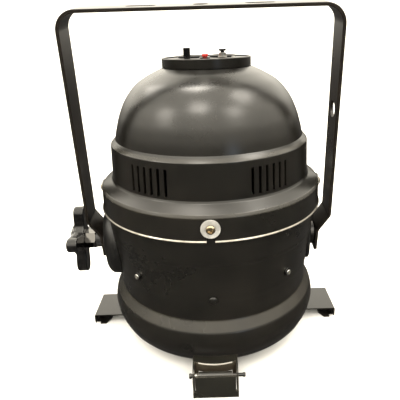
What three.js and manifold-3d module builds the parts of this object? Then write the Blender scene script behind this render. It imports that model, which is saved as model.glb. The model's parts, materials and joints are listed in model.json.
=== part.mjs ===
// Par can stage light, standing lens down on its colour-frame clips with the yoke raised.
// Millimetres. +Z is up, the tilt axis is parallel to X and the latch side faces -Y.
import * as THREE from 'three';
import { mergeVertices } from 'three/addons/utils/BufferGeometryUtils.js';
import Module from 'manifold-3d';

const wasm = await Module();
wasm.setup();

// ---------------------------------------------------------------- driving dimensions
const GAP = 0.3; // clearance between neighbouring pieces
const SHEET = 1.5; // folded sheet metal
const WALL = 1.6; // spun aluminium shells
const ROUND = 40; // segments of the large shells

const CAN_BOTTOM = 12; // underside of the front ring
const CAN_TOP = 158;
const APERTURE_R = 84; // light opening in the front ring
const PIVOT_Z = 94.7;
const KNOB_PAD_R = 36.5; // curved friction pad under the knob-side leg
const KNOB_PAD_OUT = 108.3; // radius of its outer face about the beam axis
const PLAIN_PAD_R = 27; // curved pad under the plain leg
const PLAIN_PAD_OUT = 101.5;

const FLANGE_BOTTOM = 139.7;
const FLANGE_R = 106.2;
const SCREW_Z = 152.2;
const VENT_BOTTOM = 172.2;
const VENT_TOP = 194.8;
const VENT_WIDTH = 2.5;
const VENT_PITCH = 4.15; // degrees between neighbouring vents
const VENTS_PER_GROUP = 6;
const VENT_GROUPS = [-32, 32, 148, 212]; // degrees from the front
const DOME_TOP = 265.4;
const COLLAR_R = 40.4;
const COLLAR_TOP = 274;
const PANEL_TOP = 272.8;

const YOKE_LEAN = 7.9; // degrees towards the latch side
const YOKE_SHIFT = -2.8; // the yoke sits this far towards the knob
const BAR_WIDTH = 27.6;
const BAR_THICKNESS = 3;
const YOKE_HEIGHT = 223; // pivot to the top face of the crossbar
const LOWER_HALF = 110.2; // bar centre line at the pivots
const UPPER_HALF = 121; // bar centre line above the joggle
const TOP_HALF = 113.7; // bar centre line at the crossbar
const PIVOT_HOLE_R = 4.4;

const CLIP_LENGTH = 39.4;
const CLIP_OUTER = 131;
const CLIP_TOP = 11.7;
const LATCH_Y = -120.8; // hinge pin of the latch
const LATCH_Z = 20.7;

const CAN_SCREW_Z = 91;
const RIVET_Z = 80;
const INLET_Z = 184.8; // mains inlet centre
const CLIP_ANGLES = [90, 180, 270];
const CLIP_RIVET_R = 89.5;
const CLIP_RIVET_X = 12;
const CLIP_LIP = 115; // inner edge of a clip's lower lip
const SOCKET_OUT = [-14.5, 14];
const SOCKET_IN = [15, 14];
const DIAL = [-17, -9];
const SELECT = [14.5, -9];
const MODE = [-1, -9];
const SAFETY_HOLE_R = 7.2;
const SAFETY_HOLE_HEIGHT = 133.6; // above the pivot
const QUARTER_TURNS = [0, 90, 180, 270];
const DIAGONALS = [43, 137, 223, 317];

// ---------------------------------------------------------------- materials
function material(color, roughness, metalness) {
  return new THREE.MeshStandardMaterial({ color, roughness, metalness });
}
const blackPaint = material(0x232220, 0.35, 0.3);
const zinc = material(0xb9b9b4, 0.3, 1);
const brass = material(0xb59a5e, 0.3, 1);
const chrome = material(0xd8d8d8, 0.12, 1);
const darkSteel = material(0x3a3a3a, 0.45, 0.9);
const blackPlastic = material(0x151517, 0.3, 0);
const blackRubber = material(0x1b1b1b, 0.8, 0);
const panelPrint = material(0x2a2a2b, 0.55, 0.2);
const redPlastic = material(0xa8231d, 0.35, 0);
const aluminium = material(0xb4b6b8, 0.4, 1);
const clearPlastic = material(0xdfe6e8, 0.08, 0);
const boardGreen = material(0x1f5a36, 0.5, 0);
const boardWhite = material(0xe8e8e4, 0.5, 0);

// ---------------------------------------------------------------- solids
const object = new THREE.Group();

function radians(degrees) {
  return THREE.MathUtils.degToRad(degrees);
}

// A closed manifold solid from a three.js geometry, faces outwards.
function solid(geometry) {
  const bare = geometry.clone();
  bare.deleteAttribute('normal');
  bare.deleteAttribute('uv');
  const merged = mergeVertices(bare, 1e-4);
  const points = merged.attributes.position;
  const corners = merged.index.array;
  const triangles = [];
  let volume = 0;
  const [a, b, c] = [new THREE.Vector3(), new THREE.Vector3(), new THREE.Vector3()];
  for (let i = 0; i < corners.length; i += 3) {
    const [i0, i1, i2] = corners.slice(i, i + 3);
    if (i0 === i1 || i1 === i2 || i2 === i0) continue;
    triangles.push([i0, i1, i2]);
    a.fromBufferAttribute(points, i0);
    b.fromBufferAttribute(points, i1);
    c.fromBufferAttribute(points, i2);
    volume += a.dot(b.cross(c));
  }
  const outward = volume > 0 ? triangles : triangles.map(([i0, i1, i2]) => [i0, i2, i1]);
  return new wasm.Manifold(new wasm.Mesh({
    numProp: 3,
    vertProperties: new Float32Array(points.array),
    triVerts: new Uint32Array(outward.flat()),
  }));
}

function join(...geometries) {
  return geometries.map(asSolid).reduce((sum, next) => sum.add(next));
}

function cut(geometry, ...tools) {
  return tools.map(asSolid).reduce((left, tool) => left.subtract(tool), asSolid(geometry));
}

function asSolid(shape) {
  return shape.isBufferGeometry ? solid(shape) : shape;
}

function asGeometry(shape) {
  const mesh = asSolid(shape).getMesh();
  const geometry = new THREE.BufferGeometry();
  geometry.setAttribute('position', new THREE.BufferAttribute(new Float32Array(mesh.vertProperties), 3));
  geometry.setIndex(new THREE.BufferAttribute(new Uint32Array(mesh.triVerts), 1));
  geometry.computeVertexNormals();
  return geometry;
}

// Revolves a closed [radius, height] outline about Z.
function lathe(outline, segments = ROUND) {
  const points = outline.map(([radius, height]) => new THREE.Vector2(radius, height));
  points.push(points[0].clone());
  return new THREE.LatheGeometry(points, segments).rotateX(Math.PI / 2);
}

// A solid of revolution whose [radius, height] outline starts and ends on the axis.
function turned(outline, segments = 24) {
  const points = outline.map(([radius, height]) => new THREE.Vector2(radius, height));
  return new THREE.LatheGeometry(points, segments).rotateX(Math.PI / 2);
}

function rod(radius, bottom, top, segments = 24) {
  const geometry = new THREE.CylinderGeometry(radius, radius, top - bottom, segments);
  return geometry.rotateX(Math.PI / 2).translate(0, 0, (bottom + top) / 2);
}

function tube(inner, outer, bottom, top, segments = 32) {
  return lathe([[inner, bottom], [outer, bottom], [outer, top], [inner, top]], segments);
}

function block([x0, x1], [y0, y1], [z0, z1]) {
  const geometry = new THREE.BoxGeometry(x1 - x0, y1 - y0, z1 - z0);
  return geometry.translate((x0 + x1) / 2, (y0 + y1) / 2, (z0 + z1) / 2);
}

// Extrudes a flat outline from z = 0 upwards.
function slab(points, thickness) {
  const shape = new THREE.Shape(points.map(([x, y]) => new THREE.Vector2(x, y)));
  return new THREE.ExtrudeGeometry(shape, { depth: thickness, bevelEnabled: false });
}

// Extrudes an outline drawn in the XZ plane along Y, centred on y = 0.
function section(points, width) {
  return slab(points, width).rotateX(Math.PI / 2).translate(0, width / 2, 0);
}

// Turns a geometry built along Z so that it points along -X or +X.
function alongX(geometry, sign) {
  return geometry.rotateY(sign * Math.PI / 2);
}

// Turns a geometry built along Z so that it points outwards at an angle from the front.
function outwards(geometry, angle, radius, height) {
  return geometry.rotateX(Math.PI / 2).translate(0, -radius, height).rotateZ(radians(angle));
}

function mesh(name, shape, look) {
  const piece = new THREE.Mesh(asGeometry(shape), look);
  piece.name = name;
  return piece;
}

function add(name, shape, look, parent = object) {
  const piece = mesh(name, shape, look);
  parent.add(piece);
  return piece;
}

// A group whose local +Z points outwards at an angle from the front.
function radialMount(angle, radius, height) {
  const turn = new THREE.Group();
  turn.rotation.z = radians(angle);
  const face = new THREE.Group();
  face.position.set(0, -radius, height);
  face.rotation.x = Math.PI / 2;
  turn.add(face);
  object.add(turn);
  return face;
}

function offsetInwards(points, distance) {
  return points.map((point, i) => {
    const before = points[Math.max(i - 1, 0)];
    const after = points[Math.min(i + 1, points.length - 1)];
    const along = new THREE.Vector2(after[0] - before[0], after[1] - before[1]).normalize();
    return [point[0] - along.y * distance, point[1] + along.x * distance];
  });
}

function smoothOutline(points, divisions) {
  const curve = new THREE.SplineCurve(points.map(([x, y]) => new THREE.Vector2(x, y)));
  return curve.getPoints(divisions).map((point) => [point.x, point.y]);
}

// ---------------------------------------------------------------- front can
const canOutline = [
  [93, CAN_BOTTOM], [97.6, 17], [102.9, 27.5], [104.8, 37], [104.3, 43], [102.9, 48.3],
  [96.4, 58.5], [96.4, 67], [98.4, PIVOT_Z], [100.8, 115], [103.1, 135], [103.4, CAN_TOP],
];

// Outside radius of the can at a height.
function canRadius(height) {
  const i = canOutline.findIndex(([, z], index) => index > 0 && z >= height);
  const [[r0, z0], [r1, z1]] = [canOutline[i - 1], canOutline[i]];
  return r0 + (r1 - r0) * (height - z0) / (z1 - z0);
}
const CAN_SIDE_R = canRadius(PIVOT_Z);
const CAN_SCREW_R = canRadius(CAN_SCREW_Z);
const RIVET_R = canRadius(RIVET_Z);

function frontCan() {
  const outer = [[APERTURE_R, CAN_BOTTOM], ...canOutline];
  const inner = offsetInwards(outer, WALL).reverse();
  inner[0] = [inner[0][0], CAN_TOP];
  inner[inner.length - 1] = [APERTURE_R, CAN_BOTTOM + WALL];
  const shell = lathe([...outer, ...inner]);
  const pivots = alongX(rod(PIVOT_HOLE_R, -120, 120, 16), 1).translate(0, 0, PIVOT_Z);
  const drill = (angle, height) => outwards(rod(2.4, -8, 8, 8), angle, 102, height);
  const screwHoles = DIAGONALS.map((angle) => drill(angle, CAN_SCREW_Z));
  const flangeHoles = QUARTER_TURNS.map((angle) => drill(angle, SCREW_Z));
  const rivetHoles = [0, 180].map((angle) => drill(angle, RIVET_Z));
  const clipHoles = CLIP_ANGLES.flatMap((angle) => clipRivets(angle, 1.7, CAN_BOTTOM - 1, CAN_BOTTOM + 4));
  return cut(shell, pivots, ...screwHoles, ...flangeHoles, ...rivetHoles, ...clipHoles);
}

// Two upright rods where a clip's base plate is riveted to the front ring.
function clipRivets(angle, radius, bottom, top) {
  const hole = (side) => rod(radius, bottom, top, 8).translate(side, -CLIP_RIVET_R, 0);
  return [-CLIP_RIVET_X, CLIP_RIVET_X].map((side) => hole(side).rotateZ(radians(angle)));
}
add('front_can', frontCan(), blackPaint);

// ---------------------------------------------------------------- rear housing
const domeOutline = smoothOutline([
  [88.4, 205.5], [86.1, 215], [82.2, 227], [75.7, 240], [65.4, 252], [52.6, 260], [40.8, DOME_TOP],
], 6);

function rearHousing() {
  const bore = 103.4 + GAP;
  const outer = [
    [bore, FLANGE_BOTTOM], [106.6, FLANGE_BOTTOM], [107.3, 140.6], [107.2, 142], [FLANGE_R, 143.2],
    [105.4, 160.6], [104.4, 162.3], [95.2, 168], [94.4, 169.4], [93, 201.2], [89.8, 203.6],
    ...domeOutline,
  ];
  const domeInside = offsetInwards(domeOutline, WALL).reverse();
  const inner = [...domeInside, [91.4, 200.4], [92.8, 168], [102.6, 162], [bore, 160]];
  const shell = lathe([...outer, ...inner]);
  const vents = VENT_GROUPS.flatMap((centre) => ventSlots(centre));
  const notches = QUARTER_TURNS.map((angle) => screwNotch(angle));
  const inlet = outwards(rod(12, -12, 12, 20), 180, 94, INLET_Z);
  return cut(shell, inlet, ...vents, ...notches);
}

function ventSlots(centre) {
  const first = centre - (VENTS_PER_GROUP - 1) / 2 * VENT_PITCH;
  const half = VENT_WIDTH / 2;
  const slots = [];
  for (let i = 0; i < VENTS_PER_GROUP; i += 1) {
    const slot = block([-half, half], [-100, -86], [VENT_BOTTOM, VENT_TOP]);
    slots.push(slot.rotateZ(radians(first + i * VENT_PITCH)));
  }
  return slots;
}

// The slot that lets the flange slide over a housing screw.
function screwNotch(angle) {
  const channel = block([-3.5, 3.5], [-112, -98], [FLANGE_BOTTOM - 5, SCREW_Z]);
  const end = outwards(rod(3.5, -6, 6, 12), 0, 105, SCREW_Z);
  return join(channel, end).rotate([0, 0, angle]);
}
add('rear_housing', rearHousing(), blackPaint);

// ---------------------------------------------------------------- fasteners
function crossRecess(top, reach) {
  const slot = block([-reach, reach], [-0.45, 0.45], [top - 1.3, top + 1]);
  const other = block([-0.45, 0.45], [-reach, reach], [top - 1.3, top + 1]);
  return join(slot, other);
}

function panScrew(headRadius, headHeight, shankRadius, shankLength) {
  const shoulder = headHeight * 0.45;
  const outline = [
    [0, -shankLength], [shankRadius, -shankLength], [shankRadius, 0], [headRadius, 0],
    [headRadius, shoulder], [headRadius * 0.86, headHeight * 0.8], [headRadius * 0.5, headHeight],
    [0, headHeight],
  ];
  return cut(turned(outline, 12), crossRecess(headHeight, headRadius * 0.55));
}

function fasteners() {
  QUARTER_TURNS.forEach((angle, i) => {
    const face = radialMount(angle, FLANGE_R + GAP, SCREW_Z);
    add(`housing_washer_${i + 1}`, tube(2.5, 7.9, 0, 1.3, 20), zinc, face);
    const screw = add(`housing_screw_${i + 1}`, panScrew(3.7, 2.4, 2, 9), brass, face);
    screw.position.z = 1.3 + GAP;
  });
  DIAGONALS.forEach((angle, i) => {
    const face = radialMount(angle, CAN_SCREW_R + GAP, CAN_SCREW_Z);
    add(`can_washer_${i + 1}`, tube(2, 3.9, 0, 0.9, 12), darkSteel, face);
    const screw = add(`can_screw_${i + 1}`, panScrew(2.6, 1.9, 1.6, 7), zinc, face);
    screw.position.z = 0.9 + GAP;
  });
  [0, 180].forEach((angle, i) => {
    const face = radialMount(angle, RIVET_R + GAP, RIVET_Z);
    const dome = [[0, -6], [2, -6], [2, 0], [3.9, 0], [3.6, 0.9], [2.4, 1.8], [0, 2.2]];
    add(i === 0 ? 'rivet_front' : 'rivet_rear', turned(dome, 12), blackPaint, face);
  });
}
fasteners();

// ---------------------------------------------------------------- connector panel
function panelCollar() {
  const shelf = PANEL_TOP - SHEET - GAP;
  const inside = COLLAR_R - WALL;
  return lathe([
    [COLLAR_R, DOME_TOP + GAP + 0.2], [COLLAR_R, COLLAR_TOP - 0.6], [COLLAR_R - 0.6, COLLAR_TOP],
    [inside, COLLAR_TOP], [inside, shelf], [34.5, shelf], [34.5, shelf - WALL],
    [inside - WALL, shelf - WALL],
    [inside - WALL, DOME_TOP - 3.5], [inside, DOME_TOP - 3.5], [inside, DOME_TOP + GAP + 0.2],
  ], 36);
}
add('panel_collar', panelCollar(), blackPaint);

function rearPanel() {
  const plate = rod(COLLAR_R - WALL - GAP, PANEL_TOP - SHEET, PANEL_TOP, 36);
  const holes = [
    [SOCKET_OUT, 11.2], [SOCKET_IN, 11.2], [DIAL, 3.2], [SELECT, 3.2], [MODE, 3.4],
  ].map(([[x, y], radius]) => rod(radius, PANEL_TOP - 4, PANEL_TOP + 2, 20).translate(x, y, 0));
  return cut(plate, ...holes);
}
add('rear_panel', rearPanel(), panelPrint);

// A round chassis socket, face up: three sunk contacts in a raised insert.
function femaleSocket() {
  const body = turned([[0, -18], [10.9, -18], [10.9, 0], [12.2, 0], [12.2, 1.2], [11.6, 1.8], [0, 1.8]], 24);
  const ring = tube(7.9, 9.5, -9, 3, 20);
  return cut(body, ring, ...contactPlaces().map(([x, y]) => rod(1.3, -6, 3, 8).translate(x, y, 0)));
}

// A round chassis plug, face up: three pins in an open cup.
function maleSocket() {
  const body = turned([[0, -18], [10.9, -18], [10.9, 0], [12.2, 0], [12.2, 1.2], [11.6, 1.8], [0, 1.8]], 24);
  const cup = rod(9.5, -13, 3, 20);
  const pins = contactPlaces().map(([x, y]) => rod(1.15, -14, -1, 8).translate(x, y, 0));
  return join(cut(body, cup), ...pins);
}

function contactPlaces() {
  return [150, 30, 270].map((angle) => [4.4 * Math.cos(radians(angle)), 4.4 * Math.sin(radians(angle))]);
}

function panelHardware() {
  const seat = PANEL_TOP + GAP;
  add('data_out_socket', femaleSocket(), blackPlastic).position.set(...SOCKET_OUT, seat);
  add('data_in_socket', maleSocket(), blackPlastic).position.set(...SOCKET_IN, seat);
  const bushing = cut(
    turned([[0, -9], [2.9, -9], [2.9, 0], [4.1, 0], [4.1, 1.4], [3.5, 1.9], [3.5, 4.4], [0, 4.4]], 16),
    rod(2.1, -5, 6, 12),
  );
  add('select_bushing', bushing, zinc).position.set(...SELECT, seat);
  const cap = turned([
    [0, -3.5], [1.7, -3.5], [1.7, 5.8], [3, 5.8], [3.3, 6.2], [3.1, 7.2], [2.4, 7.6], [0, 7.6],
  ], 16);
  add('select_button', cap, blackPlastic).position.set(...SELECT, seat);
  const frame = cut(block([-4.4, 4.4], [-4.4, 4.4], [0, 0.9]), block([-3, 3], [-3, 3], [-2, 3]));
  const stem = tube(2.3, 3.1, -7, 0.5, 16);
  const closure = rod(3.1, -8, -7, 16);
  add('mode_frame', join(frame, stem, closure), blackPlastic).position.set(...MODE, seat);
  const key = join(block([-2.7, 2.7], [-2.7, 2.7], [1.7, 3.6]), rod(1.9, -4, 1.8, 12));
  add('mode_button', key, redPlastic).position.set(...MODE, seat);
  add('dial_knob', dialKnob(), blackPlastic).position.set(...DIAL, seat);
}

function dialKnob() {
  const body = turned([[0, -6], [2.6, -6], [2.6, 0.2], [3.1, 0.2], [3.1, 8.4], [2.6, 9.2], [0, 9.2]], 16);
  const grooves = [];
  for (let i = 0; i < 10; i += 1) {
    grooves.push(rod(0.42, 1.2, 10, 6).translate(3.25, 0, 0).rotateZ(i * Math.PI / 5));
  }
  return cut(body, ...grooves, block([-0.35, 0.35], [0, 4], [8.6, 10]));
}
panelHardware();

// ---------------------------------------------------------------- mains inlet
function mainsInlet() {
  const flange = slab(roundedRectangle(26, 28, 3), 2);
  const body = rod(11.4, -18, 2.6, 20);
  const cup = tube(5.7, 9.6, -13, 4, 20);
  const key = block([-1.6, 1.6], [8.8, 10.6], [-10, 4]);
  const contacts = [90, 210, 330].map((angle) => {
    const [x, y] = [3 * Math.cos(radians(angle)), 3 * Math.sin(radians(angle))];
    return rod(0.9, -8, 4, 8).translate(x, y, 0);
  });
  const screws = [-1, 1].map((side) => rod(1.7, -1, 3, 10).translate(side * 10.2, side * 11.2, 0));
  return cut(join(flange, body), cup, key, ...contacts, ...screws);
}

function roundedRectangle(width, height, radius, steps = 4) {
  const [x, y] = [width / 2 - radius, height / 2 - radius];
  const points = [];
  [[x, y, 0], [-x, y, 90], [-x, -y, 180], [x, -y, 270]].forEach(([cx, cy, start]) => {
    for (let i = 0; i <= steps; i += 1) {
      const angle = radians(start + i * 90 / steps);
      points.push([cx + radius * Math.cos(angle), cy + radius * Math.sin(angle)]);
    }
  });
  return points;
}
add('mains_inlet', mainsInlet(), blackPlastic, radialMount(180, 94.4 + GAP, INLET_Z));

// ---------------------------------------------------------------- frame clips
// A folded channel that holds one edge of a square colour frame, seen from the front, opening inwards.
function frameClip() {
  const [out, top] = [CLIP_OUTER, CLIP_TOP];
  const channel = section([
    [86, top - SHEET], [out - SHEET, top - SHEET], [out - SHEET, SHEET], [CLIP_LIP, SHEET], [CLIP_LIP, 0],
    [out - 1, 0], [out, 1], [out, top - 1], [out - 1, top], [86, top],
  ], CLIP_LENGTH);
  const half = CLIP_LENGTH / 2;
  const lead = [[CLIP_LIP - 2, half - 12], [CLIP_LIP + 5, half + 1], [CLIP_LIP - 2, half + 1]];
  const corners = [1, -1].map((side) => slab(lead.map(([x, y]) => [x, side * y]), 4).translate(0, 0, -1));
  const relief = [1, -1].map((side) => block(
    [out - 5.5, out + 1], sorted(side * (half - 4), side * (half + 1)), [-1, SHEET + 0.5],
  ));
  return cut(channel, ...corners, ...relief);
}

function sorted(first, second) {
  return first < second ? [first, second] : [second, first];
}

function clips() {
  const names = ['clip_right', 'clip_rear', 'clip_left'];
  names.forEach((name, i) => {
    const turn = i * Math.PI / 2;
    const holes = clipRivets(90, 1.7, CLIP_TOP - 4, CLIP_TOP + 1);
    add(name, cut(frameClip(), ...holes), blackPaint).rotation.z = turn;
  });
}
clips();

// ---------------------------------------------------------------- latch
const LATCH_HALF = 17.4; // flap between the ears
const FOOT_HALF = 19.7; // flap below the ears
const EAR_INNER = 18.2;
const EAR_OUTER = EAR_INNER + SHEET;
const LATCH_FRONT = LATCH_Y - 4.2;
const KNUCKLE_HALF = 14.3;
const ROOF_TOP = 25.9;
const ROOF_FRONT = -113; // middle of the roof's front edge
const APRON_BOTTOM = 17.2;

// A strip between two arcs that bulge towards the front, drawn in the XY plane.
function roofOutline(front, rear) {
  const arc = (middle, corner) => [-1, -0.5, 0, 0.5, 1].map((t) => {
    return [t * (EAR_INNER + 0.4), middle + (corner - middle) * t * t];
  });
  return [...arc(front, front + 3.7), ...arc(rear, rear + 3.7).reverse()];
}

// Two ears joined by a roof whose front edge folds down as a short apron.
function latchBracket() {
  const roof = slab(roofOutline(ROOF_FRONT, -101), SHEET).translate(0, 0, ROOF_TOP - SHEET);
  const apron = slab(roofOutline(ROOF_FRONT, ROOF_FRONT + SHEET), ROOF_TOP - APRON_BOTTOM);
  const earOutline = [
    [-101.5, ROOF_TOP], [-101.5, 17], [-110, 3.4], [-120.6, 3.4], [-122.8, 6], [-123.1, 20],
    [-121.6, 24], [-118, 25.2], [-110, ROOF_TOP],
  ];
  const ears = [-EAR_OUTER, EAR_INNER].map((x) => {
    return slab(earOutline, SHEET).rotateY(Math.PI / 2).rotateX(Math.PI / 2).translate(x, 0, 0);
  });
  const canSpace = rod(103.4, 10, 40, 72);
  const pinHoles = alongX(rod(1.7, -30, 30, 12), 1).translate(0, LATCH_Y, LATCH_Z);
  return cut(join(roof, apron.translate(0, 0, APRON_BOTTOM), ...ears), canSpace, pinHoles);
}

function latchFlap() {
  const [front, back, top] = [LATCH_FRONT, LATCH_FRONT + SHEET, LATCH_Z + 2.1];
  const wall = sideSection([[front, 6], [back, 6], [back, top], [front, top]], LATCH_HALF);
  const foot = sideSection([
    [front - 0.5, 0], [front + 7.5, 0], [front + 7.5, SHEET], [back - 0.5, SHEET],
    [back, 6.9], [front, 6.9],
  ], FOOT_HALF);
  const knuckle = alongX(rod(3.3, -KNUCKLE_HALF, KNUCKLE_HALF, 16), 1).translate(0, LATCH_Y, LATCH_Z);
  const bore = alongX(rod(1.8, -20, 20, 12), 1).translate(0, LATCH_Y, LATCH_Z);
  return cut(join(wall, foot, knuckle), bore);
}

// Extrudes an outline drawn in the YZ plane along X, centred on x = 0.
function sideSection(points, half) {
  return slab(points, 2 * half).rotateY(Math.PI / 2).rotateX(Math.PI / 2).translate(-half, 0, 0);
}

function latchPin() {
  const outline = [
    [0, -22.6], [1.9, -22.6], [2.2, -22], [2.2, -20.4], [1.5, -20.2], [1.5, 23.2], [1.9, 23.6],
    [1.9, 25.2], [1.4, 25.8], [0, 25.8],
  ];
  return alongX(turned(outline, 12), 1).translate(0, LATCH_Y, LATCH_Z);
}

class SpringCurve extends THREE.Curve {
  getPoint(t, target = new THREE.Vector3()) {
    const angle = 2 * Math.PI * SPRING_TURNS * t;
    const x = SPRING_START + (SPRING_END - SPRING_START) * t;
    return target.set(x, SPRING_R * Math.cos(angle), SPRING_R * Math.sin(angle));
  }
}
const SPRING_TURNS = 2;
const SPRING_R = 2.05;
const SPRING_START = -17.5;
const SPRING_END = -15.1;

function latchSpring() {
  const wire = new THREE.Shape().absarc(0, 0, 0.35, 0, 2 * Math.PI);
  const steps = SPRING_TURNS * 8;
  const coil = new THREE.ExtrudeGeometry(wire, {
    extrudePath: new SpringCurve(), steps, curveSegments: 3, bevelEnabled: false,
  });
  return coil.translate(0, LATCH_Y, LATCH_Z);
}

function latch() {
  add('latch_bracket', latchBracket(), blackPaint);
  add('latch_flap', latchFlap(), blackPaint);
  add('latch_pin', latchPin(), zinc);
  add('latch_spring', latchSpring(), zinc);
}
latch();

// ---------------------------------------------------------------- optics and electronics
const LED_PLACES = ledPlaces();

// One centre place, then rings of 6 and 12.
function ledPlaces() {
  const places = [[0, 0]];
  [[6, 28], [12, 57]].forEach(([count, radius]) => {
    for (let i = 0; i < count; i += 1) {
      const angle = 2 * Math.PI * i / count;
      places.push([radius * Math.cos(angle), radius * Math.sin(angle)]);
    }
  });
  return places;
}

function optics() {
  add('lens_seal', tube(86, 91.5, 14, 17, 32), blackRubber);
  add('front_lens', rod(92.5, 17.3, 20.3, 36), clearPlastic);
  add('lens_retainer', tube(85, 93, 20.6, 23.4, 32), darkSteel);
  const cup = [[0, 31], [11.5, 31], [5, 45], [0, 45]];
  const cups = LED_PLACES.map(([x, y]) => turned(cup, 8).translate(x, y, 0));
  add('optic_array', join(rod(72, 29, 31.5, 32), ...cups), clearPlastic);
  const emitters = LED_PLACES.map(([x, y]) => block([x - 3, x + 3], [y - 3, y + 3], [45.4, 47.2]));
  add('led_board', join(rod(78, 47, 48.6, 32), ...emitters), boardWhite);
  const fins = [];
  for (let i = -4; i <= 4; i += 1) {
    const reach = Math.sqrt(72 ** 2 - (i * 15) ** 2);
    fins.push(block([i * 15 - 1.2, i * 15 + 1.2], [-reach, reach], [52, 72]));
  }
  add('heat_sink', join(rod(78, 49, 53, 32), ...fins), aluminium);
}
optics();

function lampCarrier() {
  const ring = lathe([[90.4, 84], [94.6, 84], [95.6, 97], [91.4, 97]], 32);
  const arms = [DIAGONALS[0] - 90, DIAGONALS[1] - 90].map((angle) => block([-93, 93], [-9, 9], [84, 86.5]).rotateZ(radians(angle)));
  const posts = [[40, 0], [-40, 0]].map(([x, y]) => rod(3, 73, 85, 12).translate(x, y, 0));
  const drills = DIAGONALS.map((angle) => outwards(rod(1.9, -6, 6, 8), angle, 94, CAN_SCREW_Z));
  const nutSpace = [-1, 1].map((side) => block(sorted(side * 85, side * 101), [-12, 12], [80, 110]));
  const hub = rod(46, 84, 86.5, 24);
  return cut(join(ring, hub, ...arms, ...posts), ...drills, ...nutSpace);
}

function electronics() {
  add('lamp_carrier', lampCarrier(), zinc);
  const supply = join(block([-48, 48], [-30, 30], [87, 119]), block([-56, 56], [-8, 8], [87, 88.5]));
  add('power_supply', supply, aluminium);
  const board = join(
    block([-44, 44], [-30, 30], [132, 133.6]),
    block([-40, -24], [-26, -12], [133, 141]), block([-6, 18], [-10, 10], [133, 137]),
    rod(6, 133, 147, 16).translate(32, 16, 0), rod(5, 133, 145, 16).translate(32, -14, 0),
  );
  add('control_board', board, boardGreen);
  const bracket = section([
    [-56, 119.3], [56, 119.3], [56, 131.7], [40, 131.7], [40, 130.2], [54.5, 130.2], [54.5, 120.8],
    [-54.5, 120.8], [-54.5, 130.2], [-40, 130.2], [-40, 131.7], [-56, 131.7],
  ], 24);
  add('board_bracket', bracket, zinc);
}
electronics();

// ---------------------------------------------------------------- tilt pivots
const KNOB_SIDE = -(LOWER_HALF - YOKE_SHIFT) - BAR_THICKNESS / 2; // outer face of the yoke leg at the knob
const BOLT_SIDE = LOWER_HALF + YOKE_SHIFT + BAR_THICKNESS / 2;
const LEG_INNER_LEFT = KNOB_SIDE + BAR_THICKNESS;
const LEG_INNER_RIGHT = BOLT_SIDE - BAR_THICKNESS;
const KNOB_TURN = 13; // degrees the arms stand off the square

// A ring about the tilt axis between two X positions.
function pivotRing(inner, outer, from, to, segments = 28) {
  return alongX(tube(inner, outer, from, to, segments), 1).translate(0, 0, PIVOT_Z);
}

function pivots() {
  add('friction_pad', saddlePad(-1, KNOB_PAD_R, KNOB_PAD_OUT), blackRubber);
  const knobDisc = pivotRing(PIVOT_HOLE_R, 17, LEG_INNER_LEFT + GAP, -KNOB_PAD_OUT - GAP);
  add('friction_disc', knobDisc, blackPlastic);
  add('pivot_spacer', saddlePad(1, PLAIN_PAD_R, PLAIN_PAD_OUT), blackRubber);
  const plainDisc = pivotRing(PIVOT_HOLE_R, 12, PLAIN_PAD_OUT + GAP, LEG_INNER_RIGHT - GAP);
  add('spacer_disc', plainDisc, darkSteel);
  add('pivot_bolt', pivotBolt(), darkSteel);
  add('insert_left', hexNut(8.5, -CAN_SIDE_R + 3, -CAN_SIDE_R + 9), zinc);
  add('insert_right', hexNut(8.5, CAN_SIDE_R - 9, CAN_SIDE_R - 3), zinc);
}

// A round pad that follows the can on one face and a cylinder about the beam axis on the other.
function saddlePad(side, radius, outer) {
  const blank = alongX(rod(radius, side * (outer - 5) - 12, side * (outer - 5) + 12, 32), 1);
  const skin = rod(outer, PIVOT_Z - radius - 1, PIVOT_Z + radius + 1, 72);
  const clear = canOutline.map(([r, z]) => [r + GAP, z]);
  const can = solid(lathe([[1, CAN_BOTTOM], ...clear, [1, CAN_TOP]]));
  const pad = solid(blank.translate(0, 0, PIVOT_Z)).intersect(solid(skin));
  const bore = alongX(rod(PIVOT_HOLE_R, -130, 130, 16), 1).translate(0, 0, PIVOT_Z);
  return cut(pad, can, bore);
}

// A hexagonal nut on the tilt axis, measured to its corners.
function hexNut(corner, from, to) {
  const blank = alongX(rod(corner, from, to, 6), 1).translate(0, 0, PIVOT_Z);
  return cut(blank, alongX(rod(4.2, from - 1, to + 1, 16), 1).translate(0, 0, PIVOT_Z));
}

function pivotBolt() {
  const seat = BOLT_SIDE + GAP;
  const outline = [
    [0, CAN_SIDE_R - 14], [3.9, CAN_SIDE_R - 14], [3.9, seat], [8, seat], [7.6, seat + 1.4], [5, seat + 2.4],
    [0, seat + 2.4],
  ];
  const socket = rod(2.6, seat + 0.9, seat + 5, 6);
  return cut(turned(outline, 20), socket).rotate([0, 90, 0]).translate([0, 0, PIVOT_Z]);
}
pivots();

// ---------------------------------------------------------------- tilt knob
function tiltHardware() {
  const washerFace = KNOB_SIDE - GAP;
  const collarFace = washerFace - 6.6 - GAP;
  const hubFace = collarFace - 10.8 - GAP;
  add('clamp_washer', pivotRing(PIVOT_HOLE_R, 9, washerFace - 6.6, washerFace, 20), blackPlastic);
  add('hex_collar', hexNut(9.8, collarFace - 10.8, collarFace), chrome);
  const stud = alongX(rod(3.9, hubFace - 8, -(CAN_SIDE_R - 14), 16), 1).translate(0, 0, PIVOT_Z);
  add('tilt_stud', stud, zinc);
  add('tilt_knob', crossKnob(hubFace), blackPlastic);
}

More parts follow.
